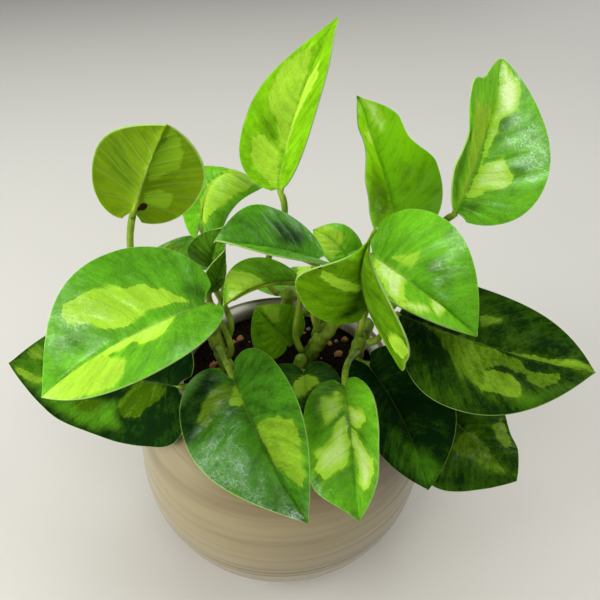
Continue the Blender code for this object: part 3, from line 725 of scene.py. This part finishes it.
def soil_finish(settings):
    material, shader, place = new_finish("potting_soil", 0.95, Specular_IOR_Level=0.0)
    lump = place.grain(350.0, 4.0)
    grit = place.grain(1400.0, 3.0)
    colour = (lump * 0.6 + grit * 0.6 - 0.1).tint(settings.dark, settings.brown)
    layered(colour, (grit.rise(0.66, 0.72) * 0.8, settings.fibre)).feed(shader, "Base Color")
    (lump + grit * 0.6).emboss(shader, 0.0012, 0.9)
    return material


def stone_finish(name, near, far):
    material, shader, place = new_finish(name, 0.85, Specular_IOR_Level=0.1)
    pores = place.grain(1300.0, 3.0)
    (pores + (place.grain(300.0) - 0.5)).tint(near, far).feed(shader, "Base Color")
    pores.emboss(shader, 0.0004, 0.8)
    return material


def floor_finish(settings):
    material, shader, place = new_finish("floor", 0.75)
    shade = [channel * 0.97 for channel in settings.floor]
    place.grain(3.0).tint(shade, settings.floor).feed(shader, "Base Color")
    return material


def number_property(name, description, default, **more):
    return bpy.props.FloatProperty(
        name=name, description=description, default=default, min=0.0, **more)


def length_property(*words):
    return number_property(*words, unit="LENGTH", subtype="DISTANCE", precision=5)


def colour_property(name, description, default):
    return bpy.props.FloatVectorProperty(
        name=name, description=description, default=default, subtype="COLOR", size=3, min=0.0,
        max=1.0)


class PothosJarSettings(bpy.types.PropertyGroup):
    radius: length_property("Radius", "Radius of the ball-shaped jar", BALL_RADIUS * MM)
    glaze_sand: colour_property("Sand glaze", "Main colour of the outside", (0.25, 0.20, 0.095))
    glaze_tan: colour_property("Tan glaze", "Darker patches of the outside", (0.16, 0.115, 0.05))
    glaze_brown: colour_property("Brown rings", "Glaze in the turned rings", (0.07, 0.035, 0.015))
    inside: colour_property("Inside", "Off-white glaze of the inside", (0.78, 0.74, 0.66))


class PothosSoilSettings(bpy.types.PropertyGroup):
    lumps: length_property("Lumps", "Height of the lumps in the soil's surface", 0.0016)
    crumbs: bpy.props.IntProperty(
        name="Crumbs", description="How many loose crumbs lie on the soil", default=420, min=0)
    dark: colour_property("Dark soil", "Colour of the wet soil", (0.003, 0.0025, 0.002))
    brown: colour_property("Brown soil", "Colour of the drier soil", (0.022, 0.013, 0.008))
    fibre: colour_property("Fibre", "Colour of the pale fibres in the soil", (0.12, 0.075, 0.035))
    pumice: colour_property("Pumice", "Colour of the orange-brown grains", (0.40, 0.20, 0.065))


class PothosPlantSettings(bpy.types.PropertyGroup):
    blade: length_property("Blade thickness", "Thickness of a leaf blade", 0.0005)
    groove: length_property("Midrib groove", "Depth of the groove over the midrib", 0.0005)
    quilting: length_property("Quilting", "How far the blade puffs up between side veins", 0.0004)
    waves: length_property("Waves", "How uneven a blade is", 0.0009)
    gloss: number_property("Gloss", "Roughness of a leaf's upper side", 0.3, max=1.0)
    glow: number_property("Glow", "Share of the light that passes into a blade", 0.7, max=1.0)
    # The dark ends of these greens and olives also serve as painted shade: the low tones of the
    # lower leaves in other leaves' shadow reach them, and olive darkens those leaves' patches.
    dark_green: colour_property("Dark green", "Old leaves, bluish", (0.003, 0.018, 0.004))
    fresh_green: colour_property("Fresh green", "Young leaves, bluish", (0.13, 0.52, 0.02))
    dark_olive: colour_property("Dark olive", "Old leaves, yellowish", (0.006, 0.021, 0.001))
    fresh_olive: colour_property("Fresh olive", "Young leaves, yellowish", (0.27, 0.60, 0.004))
    olive: colour_property("Olive", "Patches of the oldest leaves", (0.04, 0.095, 0.002))
    lime: colour_property("Lime", "Patches of young leaves", (0.39, 0.66, 0.035))
    pale_lime: colour_property("Pale lime", "Lightest parts of the patches", (0.76, 0.92, 0.40))
    rib: colour_property("Midrib", "Midrib and side veins", (0.36, 0.50, 0.14))
    margin: colour_property("Margin", "Thin pale edge of a blade", (0.42, 0.60, 0.16))
    under_dark: colour_property("Dark underside", "Back of an old leaf", (0.05, 0.14, 0.002))
    under_light: colour_property("Light underside", "Back of a young leaf", (0.23, 0.355, 0.003))
    stalk_dark: colour_property("Dark stalk", "Darker parts of the stalks", (0.04, 0.11, 0.004))
    stalk_light: colour_property("Light stalk", "Lighter parts of the stalks", (0.35, 0.49, 0.04))
    dry: colour_property("Dry spots", "Small dead spots of a blade", (0.035, 0.012, 0.006))
    bark: colour_property("Scars", "Dry brown rings of a stem", (0.13, 0.075, 0.03))


class PothosStageSettings(bpy.types.PropertyGroup):
    floor: colour_property("Floor", "Colour of the floor", (0.59, 0.555, 0.495))
    backdrop: number_property("Backdrop", "Brightness of the backdrop behind the floor", 0.8)
    sky: number_property("Sky", "Strength of the even light all round", 0.1)
    window: number_property("Window", "Power of the cool light from the left", 10.0)
    ceiling: number_property("Ceiling", "Power of the light overhead", 0.7)
    front: number_property("Front", "Power of the light behind the camera", 2.6)
    fill: number_property("Fill", "Power of the warm light from the front", 2.2)
    right: number_property("Right", "Power of the light high on the right", 3.0)
    rear: number_property("Rear", "Power of the light above the back", 5.0)
    low_left: number_property("Low left", "Power of the low light from the left", 3.0)
    low_rear: number_property("Low rear", "Power of the low light at the back right", 2.0)


def deselect_all():
    if bpy.context.object and bpy.context.object.mode != "OBJECT":
        bpy.ops.object.mode_set(mode="OBJECT")
    bpy.ops.object.select_all(action="DESELECT")


def pick(*pieces):
    """Selects only these pieces, the first of them active."""
    deselect_all()
    for piece in pieces:
        piece.select_set(True)
    bpy.context.view_layer.objects.active = pieces[0]


def merge_doubles(piece, outwards=True):
    """Merges doubles and turns all faces outwards, which an open sheet goes without."""
    pick(piece)
    bpy.ops.object.mode_set(mode="EDIT")
    bpy.ops.mesh.select_all(action="SELECT")
    bpy.ops.mesh.remove_doubles(threshold=MERGE_DISTANCE)
    if outwards:
        bpy.ops.mesh.normals_make_consistent(inside=False)
    bpy.ops.object.mode_set(mode="OBJECT")


def join(pieces):
    pick(*pieces)
    bpy.ops.object.join()
    return pieces[0]


def settle(piece, name, slot, *nodes):
    """Puts a finished piece's place into its mesh and ties it to the frame."""
    pick(piece)
    bpy.ops.object.transform_apply(location=True, rotation=True, scale=True)
    write_points(piece.data, np.clip(read_points(piece.data), *CAD_BOX))
    piece.name = name
    piece.data.name = name
    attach(piece, "root")
    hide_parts(*nodes)


def read_points(mesh, what="co"):
    """The places of a mesh's vertices, or their normals."""
    flat = np.empty(len(mesh.vertices) * 3)
    mesh.vertices.foreach_get(what, flat)
    return flat.reshape(-1, 3)


def write_points(mesh, points):
    mesh.vertices.foreach_set("co", points.ravel())
    mesh.update()


def paint(mesh, name, values):
    """Keeps a number for each vertex, which a material reads by its name."""
    values = np.broadcast_to(np.asarray(values, float), len(mesh.vertices))
    mesh.attributes.new(name, "FLOAT", "POINT").data.foreach_set("value", values)


def turn(profile, sides):
    """A closed round body: a filled ring, extruded and resized along (radius, height) points."""
    deselect_all()
    radius, height = profile[0]
    bpy.ops.mesh.primitive_circle_add(
        vertices=sides, radius=radius * MM, fill_type="NGON", location=(0, 0, height * MM))
    body = bpy.context.object
    bpy.ops.object.mode_set(mode="EDIT")
    bpy.ops.mesh.select_mode(type="EDGE")
    for (near, low), (far, high) in zip(profile, profile[1:]):
        bpy.ops.mesh.extrude_edges_move(
            TRANSFORM_OT_translate={"value": (0, 0, (high - low) * MM)})
        ratio = far / near
        bpy.ops.transform.resize(value=(ratio, ratio, 1), center_override=(0, 0, high * MM))
    bpy.ops.mesh.edge_face_add()
    bpy.ops.mesh.select_all(action="SELECT")
    bpy.ops.mesh.normals_make_consistent(inside=False)
    bpy.ops.object.mode_set(mode="OBJECT")
    bpy.ops.object.transform_apply(location=True, rotation=False, scale=False)
    return body


def ring_depth(latitude):
    """How deep the turned rings cut at a latitude, and how worn the glaze is there, from 0 to 1."""
    depth, worn = 0.0, 0.0
    for middle, deep, half, brown in GROOVES:
        near = max(0.0, 1.0 - abs(latitude - middle) / half)
        depth += deep * near * near * (3.0 - 2.0 * near)
        worn = max(worn, near * brown)
    for middle, deep in FINE_RINGS:
        near = max(0.0, 1.0 - abs(latitude - middle) / FINE_RING_WIDTH)
        depth += deep * near
        worn = max(worn, near * deep * FINE_RING_WEAR)
    return depth, worn


def on_ball(radius, latitude):
    angle = math.radians(latitude)
    return radius * math.cos(angle), BALL_HEIGHT + radius * math.sin(angle)


def jar_profile(radius):
    """The profile from the foot, up the outside, over the lip and down to the floor inside, and
    how worn the glaze is at its first points, up to the lip."""
    outside, worn = [], []
    count = round((HIGH_LATITUDE - LOW_LATITUDE) / LATITUDE_STEP)
    for latitude in np.linspace(LOW_LATITUDE, HIGH_LATITUDE, count + 1):
        depth, wear = ring_depth(latitude)
        outside.append(on_ball(radius - depth, latitude))
        worn.append(wear)
    foot = [(outside[0][0] - inset, height) for inset, height in FOOT_STEPS]
    rim, rim_height = outside[-1]
    lip = []
    for angle in np.linspace(0.0, math.pi, LIP_STEPS + 1)[1:-1]:
        reach = (rim + MOUTH_RADIUS) / 2 + (rim - MOUTH_RADIUS) / 2 * math.cos(angle)
        rise = (LIP_HEIGHT - rim_height) * math.sin(angle) ** LIP_ROUNDNESS
        lip.append((reach, rim_height + rise))
    neck = [(MOUTH_RADIUS + out, height) for out, height in NECK_STEPS]
    belly = [on_ball(radius - WALL, latitude) for latitude in BELLY_LATITUDES]
    floor_edge = math.sqrt((radius - WALL) ** 2 - (BALL_HEIGHT - FLOOR) ** 2)
    floor = [(floor_edge, FLOOR), (HUB_RADIUS, FLOOR)]
    profile = [(HUB_RADIUS, 0.0), *foot, *outside, *lip, *neck, *belly, *floor]
    return profile, [0.0] * (1 + len(foot)) + worn


class PothosAddJar(bpy.types.Operator):
    """Adds the round stoneware jar with its turned rings"""

    bl_idname = "pothos.add_jar"
    bl_label = "Add Jar"

    def execute(self, context):
        settings = context.scene.pothos_jar
        profile, wear = jar_profile(settings.radius / MM)
        jar = turn(profile, JAR_SIDES)
        mesh = jar.data
        points = read_points(mesh) / MM
        reach = np.hypot(points[:, 0], points[:, 1])
        ring = np.zeros(len(points))
        for (radius, height), worn in zip(profile, wear):
            ring[(abs(points[:, 2] - height) < 0.01) & (abs(reach - radius) < 0.05)] = worn
        paint(mesh, "ring", ring)
        mesh.materials.append(glaze_finish(settings))
        mesh.materials.append(inner_glaze_finish(settings))
        for polygon in mesh.polygons:
            centre = polygon.center / MM
            inside = centre.z > FLOOR - 1.0 and polygon.normal.xy.dot(centre.xy) < 0
            floor = abs(centre.z - FLOOR) < 0.1
            lip = (centre.z > LIP_HEIGHT - INNER_LIP_DROP
                   and centre.xy.length < MOUTH_RADIUS + INNER_LIP_WIDTH)
            if inside or floor or lip:
                polygon.material_index = 1
        mesh.shade_smooth()
        settle(jar, "stoneware_jar", "stoneware", "jar")
        return {"FINISHED"}


def soil_lump(x, y, height):
    """How high the soil's lumps stand at a place, in millimetres."""
    return height * sum(share * noise.noise(Vector((x, y, layer)) / width)
                        for width, share, layer in SOIL_LUMPS)


class PothosAddSoil(bpy.types.Operator):
    """Adds the potting soil with its crumbs and pumice grains"""

    bl_idname = "pothos.add_soil"
    bl_label = "Add Soil"

    def execute(self, context):
        settings = context.scene.pothos_soil
        height = settings.lumps / MM
        rings = round(SOIL_EDGE / SOIL_STEP)
        top = [(SOIL_EDGE * (1 - i / rings), SOIL_HEIGHT) for i in range(rings)]
        soil = turn([*SOIL_WALL, *top], SOIL_SIDES)
        mesh = soil.data
        points = read_points(mesh)
        for i, (x, y, z) in enumerate(points / MM):
            if abs(z - SOIL_HEIGHT) < 0.05:
                fade = min(1.0, (SOIL_EDGE - math.hypot(x, y)) / SOIL_FADE)
                points[i, 2] += soil_lump(x, y, height) * fade * MM
        write_points(mesh, points)
        dirt = soil_finish(settings)
        mesh.materials.append(dirt)
        mesh.shade_smooth()
        settle(soil, "potting_soil", "soil", "soil")
        self.scatter(settings, dirt, height)
        return {"FINISHED"}

    def scatter(self, settings, dirt, height):
        """Loose crumbs, pumice and a few pale grains on the soil."""
        draw = random.Random(CRUMB_SEED)
        pumice = stone_finish("pumice", [channel * 0.45 for channel in settings.pumice],
                              [min(1.0, channel * 1.3) for channel in settings.pumice])
        grit = stone_finish("pale_grit", (0.09, 0.08, 0.09), (0.42, 0.38, 0.35))
        deselect_all()
        seeds = []
        for levels in (1, 2):
            bpy.ops.mesh.primitive_ico_sphere_add(
                subdivisions=levels, radius=1.0, location=(0, 0, 0))
            seeds.append(bpy.context.object)
        grains = [(*grain, pumice) for grain in PUMICE_GRAINS]
        for _ in range(settings.crumbs):
            reach = (SOIL_EDGE - CRUMB_INSET) * math.sqrt(draw.random())
            angle = draw.random() * math.tau
            kind = draw.random()
            finish = grit if kind > GRIT_FROM else pumice if kind > PUMICE_FROM else dirt
            size = LEAST_CRUMB + CRUMB_GROWTH * draw.random() ** 2
            grains.append((reach * math.cos(angle), reach * math.sin(angle), size, finish))
        made = []
        for number, (x, y, size, finish) in enumerate(grains):
            seed = seeds[number < len(PUMICE_GRAINS)]
            crumb = seed.copy()
            crumb.data = seed.data.copy()
            bpy.context.scene.collection.objects.link(crumb)
            squash = Vector([draw.uniform(*span) for span in CRUMB_SQUASH])
            level = SOIL_HEIGHT + soil_lump(x, y, height) + size * CRUMB_RISE
            lumpy = []
            for corner in map(Vector, read_points(seed.data)):
                bulge = 1.0 + CRUMB_LUMPS * noise.noise(corner * 1.4 + Vector((number * 3.7, 0, 0)))
                lumpy.append(corner * bulge * squash * size * MM + Vector((x, y, level)) * MM)
            write_points(crumb.data, np.array(lumpy))
            crumb.data.materials.append(finish)
            made.append(crumb)
        for seed in seeds:
            bpy.data.objects.remove(seed)
        crumbs = join(made)
        crumbs.data.shade_smooth()
        settle(crumbs, "soil_crumbs", "soil", "soil")


def unit(vector):
    return vector / np.linalg.norm(vector)


def bell(distance, width):
    return math.exp(-(distance / width) ** 2)


def curve_points(guides, shares):
    """Points of the Bezier curve that four guide points set, at these shares of its run."""
    a, b, c, d = (np.array(guide, float) for guide in guides)
    t = np.asarray(shares, float)[..., None]
    s = 1.0 - t
    return a * s ** 3 + b * (3 * s * s * t) + c * (3 * s * t * t) + d * t ** 3


def curve_direction(guides, share, step=0.01):
    ends = curve_points(guides, [max(share - step, 0.0), min(share + step, 1.0)])
    return unit(ends[1] - ends[0])


def add_tube(points, radii, finish, roundness=3):
    """A round bar with closed ends through points in millimetres."""
    deselect_all()
    bpy.ops.curve.primitive_nurbs_path_add(location=(0, 0, 0))
    curve = bpy.context.object.data
    curve.splines.clear()
    spline = curve.splines.new("POLY")
    spline.points.add(len(points) - 1)
    for place, point, radius in zip(spline.points, points, radii):
        place.co = (*(np.array(point) * MM), 1.0)
        place.radius = radius
    curve.bevel_depth = MM
    curve.bevel_resolution = roundness
    curve.use_fill_caps = True
    bpy.ops.object.convert(target="MESH")
    tube = bpy.context.object
    merge_doubles(tube)
    tube.data.materials.clear()
    tube.data.materials.append(finish)
    tube.data.shade_smooth()
    return tube


class PothosAddStems(bpy.types.Operator):
    """Adds the rooted vines with their node rings"""

    bl_idname = "pothos.add_stems"
    bl_label = "Add Stems"

    def execute(self, context):
        finish = stem_finish(context.scene.pothos_plant)
        for name, stem in STEMS.items():
            rings = [leaf.at for leaf in LEAVES.values() if leaf.stem == name]
            shares = np.linspace(0.0, 1.0, STEM_STEPS)
            points = curve_points(stem.points, shares)
            sizes, scars = [], []
            for share in shares:
                near = min(abs(share - ring) for ring in rings)
                swell = (NODE_SWELL - 1.0) * bell(near, NODE_REACH)
                groove = SCAR_DEPTH * bell(near - SCAR_OFFSET, 0.008)
                ripple = STEM_RIPPLE * noise.noise(Vector((share * 14.0, stem.radius, 0.0)))
                sizes.append(1.0 + swell - groove + ripple)
                scars.append(SCAR_BROWN * bell(near - SCAR_OFFSET, 0.007))
            top, end = points[-1], curve_direction(stem.points, 1.0)
            for rise, size in STEM_END:
                points = np.vstack([points, top + end * stem.radius * rise])
                sizes.append(size)
                scars.append(END_BROWN)
            vine = add_tube(points, stem.radius * np.array(sizes), finish, 5)
            places = read_points(vine.data) / MM
            nearest = np.argmin(((places[:, None] - points[None]) ** 2).sum(-1), 1)
            paint(vine.data, "scar", np.array(scars)[nearest])
            settle(vine, "vine_" + name, "stem", name)
        return {"FINISHED"}


def midrib(leaf):
    """The joint, the direction from it to the tip, and the distance between them."""
    joint = np.array(leaf.joint, float)
    way = np.array(leaf.tip, float) - joint
    return joint, unit(way), np.linalg.norm(way)


def leaf_directions(leaf):
    """The blade's own directions: along the midrib, to its right, and up from its upper side."""
    along = midrib(leaf)[1]
    face = np.array(leaf.face, float)
    up = unit(face - along * face.dot(along))
    return along, np.cross(along, up), up


def half_outline(run, lobe, drawn):
    """Points of the half outline, run from 0 at the joint to 1 at the tip."""
    lobe_arc = [(along * lobe if along < 0 else along, out) for along, out in LOBE_ARC]
    tip_arc = [tuple((1 - drawn) * a + drawn * b for a, b in zip(full, slim))
               for full, slim in zip(TIP_ARC, DRAWN_TIP_ARC)]
    first = curve_points(lobe_arc, np.clip(run / LOBE_SHARE, 0.0, 1.0))
    second = curve_points(tip_arc, np.clip((run - LOBE_SHARE) / (1.0 - LOBE_SHARE), 0.0, 1.0))
    return np.where((run < LOBE_SHARE)[:, None], first, second)


def margin_bulge(leaf, half, run):
    """How far the margin stands out of the plain outline, in millimetres."""
    total = np.zeros(len(run))
    for side, middle, span, out in leaf.bulges:
        near = np.clip(1.0 - ((run - middle) / span) ** 2, 0.0, 1.0)
        total += np.where(half == side, out * near * near, 0.0)
    return total


def blade_sheet(leaf, run, across):
    """The middle sheet of a blade, and its places on the flat leaf (length, half width)."""
    joint, _, length = midrib(leaf)
    along, right, up = leaf_directions(leaf)
    margin = half_outline(run, leaf.lobe, leaf.drawn)
    share = np.abs(across)
    root = run ** ROOT_CROWDING
    x = root + (margin[:, 0] - root) * share ** VEIN_SWEEP
    half = np.where(across > 0, 0, 1)
    width, fold, curl = np.array((leaf.halves, leaf.fold, leaf.curl), float)[:, half]
    out = (margin[:, 1] + margin_bulge(leaf, half, run) / width) * share
    fold = np.radians(fold)
    bend = np.radians(np.where(curl == 0, LEAST_CURL, curl)) / width
    turned = fold + bend * out * width
    bow = 4 * x * (1 - x)
    sideways = np.copysign(1.0, across) * (np.sin(turned) - np.sin(fold)) / bend + leaf.side * bow
    ripple = leaf.wave * np.sin(RIPPLES * run + 2.0 * half + length) * share ** 2
    lift = (np.cos(fold) - np.cos(turned)) / bend + leaf.arch * bow + ripple
    points = joint + np.outer(x * length, along) + np.outer(sideways, right) + np.outer(lift, up)
    return points, x, np.copysign(out, across)


def depth_inside(flat, corners):
    """How far inside an outline each place is, in millimetres, and minus outside it."""
    inside = np.zeros(len(flat), bool)
    nearest = np.full(len(flat), np.inf)
    for near, far in zip(corners, np.roll(corners, -1, axis=0)):
        reach = far - near
        t = np.clip((flat - near) @ reach / max(reach @ reach, TINY), 0.0, 1.0)
        nearest = np.minimum(nearest, np.linalg.norm(flat - near - t[:, None] * reach, axis=1))
        straddles = (near[1] > flat[:, 1]) != (far[1] > flat[:, 1])
        rise = reach[1] if abs(reach[1]) > TINY else TINY
        crossing = near[0] + (flat[:, 1] - near[1]) * reach[0] / rise
        inside ^= straddles & (flat[:, 0] < crossing)
    return np.where(inside, nearest, -nearest)


def leaf_areas(leaf, look, x, out):
    """Numbers for each place: how far it is inside a pale patch (0.5 at the patch's edge), how
    light that patch is, the tone with its painted light and shade, and how far it is inside a
    dry spot."""
    length = midrib(leaf)[2]
    flat = np.stack([x * length, out * np.where(out > 0, *leaf.halves)], -1)

    def depth(outline):
        corners = np.array(outline, float).reshape(-1, 2) / 100
        corners[:, 1] *= np.where(corners[:, 1] > 0, *leaf.halves)
        return depth_inside(flat, corners * (length, 1.0))

    patch, dry = np.zeros((2, len(x)))
    light, tone = np.full(len(x), 0.5), np.full(len(x), look.tone)
    for pale, *outline in look.patches:
        inside = np.clip(0.5 + depth(outline) / PATCH_REACH, 0.0, 1.0)
        light = np.where(inside > patch, pale, light)
        patch = np.maximum(patch, inside)
    # Shade areas: painted shade, and painted light where the change is above 0, partly the leaf's
    # own green
    for change, *outline in look.shades:
        tone += change * np.clip(0.5 + depth(outline) / SHADE_REACH, 0.0, 1.0)
    for run, off, radius in look.spots:
        middle = (run / 100 * length, off / 100 * leaf.halves[off < 0])
        near = 1.0 - 0.5 * np.linalg.norm(flat - middle, axis=1) / radius
        dry = np.maximum(dry, np.clip(near, 0.0, 1.0))
    return {"lime": patch, "pale": light, "tone": np.clip(tone, 0.0, 1.0), "dry": dry}


def blade_relief(points, run, across, x, out, leaf, settings):
    """Small forms, in metres off the sheet: midrib groove, quilting and unevenness."""
    share = np.abs(across)
    width = np.where(across > 0, *leaf.halves)
    fade = np.clip((1.0 - x) * 4.0, 0.0, 1.0)
    groove = np.exp(-(out * width / (GROOVE_WIDTH - GROOVE_TAPER * x)) ** 2) * fade
    between = np.abs(np.sin(math.pi * SIDE_VEINS * run)) ** PUFF_ROUNDNESS
    puff = between * np.sin(math.pi * np.clip(share, 0.0, 1.0)) ** PUFF_ROUNDNESS * fade
    uneven = np.array([noise.noise(Vector(p) / WAVE_LENGTH + Vector(leaf.tip)) for p in points])
    uneven *= np.clip(4.0 * share * (1.0 - share), 0.0, 1.0) * fade
    return settings.quilting * puff - settings.groove * groove + settings.waves * uneven


def petiole_line(leaf, settings):
    """The stalk's points and radii from its stem to the joint, and on under the blade as a rib."""
    joint = midrib(leaf)[0]
    along, _, up = leaf_directions(leaf)
    stem = STEMS[leaf.stem]
    root = curve_points(stem.points, leaf.at)
    axis = curve_direction(stem.points, leaf.at)
    outward = joint - root
    outward = unit(outward - axis * outward.dot(axis))
    start = unit(outward + axis * PETIOLE_RISE)
    foot_radius = PETIOLE_RADIUS * PETIOLE_FOOT
    reach = (stem.radius * NODE_SWELL + foot_radius * start.dot(axis)) * FACET_FIT + CLEARANCE
    foot = root + outward * reach
    under = joint - up * (PETIOLE_RADIUS * PETIOLE_SINK)
    crook = math.radians(leaf.crook)
    arrive = along * math.cos(crook) + up * math.sin(crook)
    distance = np.linalg.norm(under - foot)
    guides = (foot, foot + start * (distance * FIRST_PULL),
              under - arrive * (distance * LAST_PULL), under)
    shares = np.linspace(0.0, 1.0, PETIOLE_STEPS)
    points = list(curve_points(guides, shares))
    slimming = foot_radius - PETIOLE_RADIUS * PETIOLE_WAIST
    radii = [foot_radius - slimming * min(1.0, 3 * t) + JOINT_SWELL * bell(t - 0.95, 0.05)
             for t in shares]
    runs = np.linspace(*RIB_ENDS, RIB_STEPS)
    ribs, _, _ = blade_sheet(leaf, runs, np.zeros(len(runs)))
    for run, rib in zip(runs, ribs):
        radius = PETIOLE_RADIUS * (RIB_TAPER * (1.0 - run ** 0.8) + RIB_TIP)
        points.append(rib - up * (radius * RIB_SINK + settings.groove / MM * min(1.0, run * 4)))
        radii.append(radius)
    return points, radii


class PothosAddLeaves(bpy.types.Operator):
    """Adds every leaf: a veined two-tone blade on its stalk"""

    bl_idname = "pothos.add_leaves"
    bl_label = "Add Leaves"

    def execute(self, context):
        settings = context.scene.pothos_plant
        finishes = [make(settings)
                    for make in (leaf_top_finish, leaf_under_finish, leaf_margin_finish)]
        stalk = stalk_finish(settings)
        for name, leaf in LEAVES.items():
            blade = self.blade(leaf, LOOKS[name], settings, finishes)
            petiole = add_tube(*petiole_line(leaf, settings), stalk)
            settle(join([blade, petiole]), "pothos_" + name, "leaf", name)
        return {"FINISHED"}

    def blade(self, leaf, look, settings, finishes):
        deselect_all()
        bpy.ops.mesh.primitive_grid_add(
            x_subdivisions=BLADE_COLUMNS, y_subdivisions=BLADE_ROWS, size=1.0, calc_uvs=True,
            location=(0, 0, 0))
        blade = bpy.context.object
        mesh = blade.data
        flat = read_points(mesh)
        across = flat[:, 0] * 2.0
        across[np.abs(across) < TINY] = 0.0
        run = FIRST_ROW + (1.0 - FIRST_ROW) * (flat[:, 1] + 0.5)
        points, x, out = blade_sheet(leaf, run, across)
        write_points(mesh, points * MM)
        relief = blade_relief(points, run, across, x, out, leaf, settings)
        write_points(mesh, points * MM + read_points(mesh, "normal") * relief[:, None])
        sheen = np.where(across > 0, *np.broadcast_to(look.sheen, 2))
        numbers = {"warmth": look.warmth, "sheen": sheen, "seed": look.tone * SEED_SPREAD}
        for key, values in (leaf_areas(leaf, look, x, out) | numbers).items():
            paint(mesh, key, values)
        for finish in finishes:
            mesh.materials.append(finish)
        merge_doubles(blade, outwards=False)
        wall = blade.modifiers.new("blade", "SOLIDIFY")
        wall.thickness = settings.blade
        wall.offset = 0.0
        wall.use_even_offset = False
        wall.material_offset = 1
        wall.material_offset_rim = 2
        bpy.ops.object.modifier_apply(modifier=wall.name)
        bpy.ops.object.shade_smooth_by_angle(angle=math.radians(SMOOTH_ANGLE))
        return blade


def add_light(name, place, size, power, colour, mirrored):
    """A lamp that faces the plant. One that isn't mirrored lights without a highlight."""
    deselect_all()
    bpy.ops.object.light_add(type="AREA", location=place)
    lamp = bpy.context.object
    lamp.name = name
    lamp.data.shape = "RECTANGLE"
    lamp.data.size, lamp.data.size_y = size
    lamp.data.energy = power
    lamp.data.color = colour
    lamp.visible_glossy = mirrored
    way = Vector(LIGHT_TARGET) - lamp.location
    lamp.rotation_euler = way.to_track_quat("-Z", "Y").to_euler()


class PothosAddStage(bpy.types.Operator):
    """Adds the floor, the lights and the camera"""

    bl_idname = "pothos.add_stage"
    bl_label = "Add Stage"

    def execute(self, context):
        settings = context.scene.pothos_stage
        deselect_all()
        bpy.ops.mesh.primitive_circle_add(
            vertices=128, radius=FLOOR_RADIUS, fill_type="NGON", location=(0, 0, -FLOOR_DROP))
        floor = bpy.context.object
        floor.name = "floor"
        bpy.ops.object.transform_apply(location=True)
        floor.data.materials.append(floor_finish(settings))
        for name, place, size, colour, mirrored in LIGHTS:
            add_light(name, place, size, getattr(settings, name), colour, mirrored)
        context.scene.world = self.room(settings)
        context.scene.view_settings.view_transform = "Standard"
        bpy.ops.object.camera_add(
            location=CAMERA_PLACE, rotation=(math.radians(CAMERA_TILT), 0, 0))
        camera = bpy.context.object
        camera.name = "camera"
        camera.data.lens = CAMERA_LENS
        camera.data.sensor_width = CAMERA_SENSOR
        context.scene.camera = camera
        return {"FINISHED"}

    def room(self, settings):
        """A dim room, so that leaves shine only where they face a light, and a pale backdrop."""
        world = bpy.data.worlds.new("pale_room")
        world.use_nodes = True
        background = world.node_tree.nodes["Background"]
        background.inputs["Color"].default_value = (0.93, 0.95, 1.0, 1.0)
        seen = Signal(world.node_tree).add("ShaderNodeLightPath", output="Is Camera Ray")
        (settings.sky + seen * (settings.backdrop - settings.sky)).feed(background, "Strength")
        return world


class PothosPanel(bpy.types.Panel):
    """Lists the operators of the potted pothos"""

    bl_label = "Potted Pothos"
    bl_idname = "POTHOS_PT_panel"
    bl_space_type = "VIEW_3D"
    bl_region_type = "UI"
    bl_category = "Pothos"

    def draw(self, context):
        for operator, group in PANEL_ROWS:
            self.layout.operator(operator.bl_idname)
            settings = getattr(context.scene, group)
            for key in settings.bl_rna.properties.keys():
                if key not in ("rna_type", "name"):
                    self.layout.prop(settings, key)


GROUPS = {
    "pothos_jar": PothosJarSettings,
    "pothos_soil": PothosSoilSettings,
    "pothos_plant": PothosPlantSettings,
    "pothos_stage": PothosStageSettings,
}
PANEL_ROWS = (
    (PothosAddJar, "pothos_jar"),
    (PothosAddSoil, "pothos_soil"),
    (PothosAddStems, "pothos_plant"),
    (PothosAddLeaves, "pothos_plant"),
    (PothosAddStage, "pothos_stage"),
)
CLASSES = (*GROUPS.values(), *(operator for operator, _ in PANEL_ROWS), PothosPanel)


def register():
    for cls in CLASSES:
        bpy.utils.register_class(cls)
    for name, group in GROUPS.items():
        setattr(bpy.types.Scene, name, bpy.props.PointerProperty(type=group))


def unregister():
    for name in GROUPS:
        delattr(bpy.types.Scene, name)
    for cls in reversed(CLASSES):
        bpy.utils.unregister_class(cls)


def main():
    register()
    bpy.ops.pothos.add_jar()
    bpy.ops.pothos.add_soil()
    bpy.ops.pothos.add_stems()
    bpy.ops.pothos.add_leaves()
    bpy.ops.pothos.add_stage()


if __name__ == "__main__":
    main()
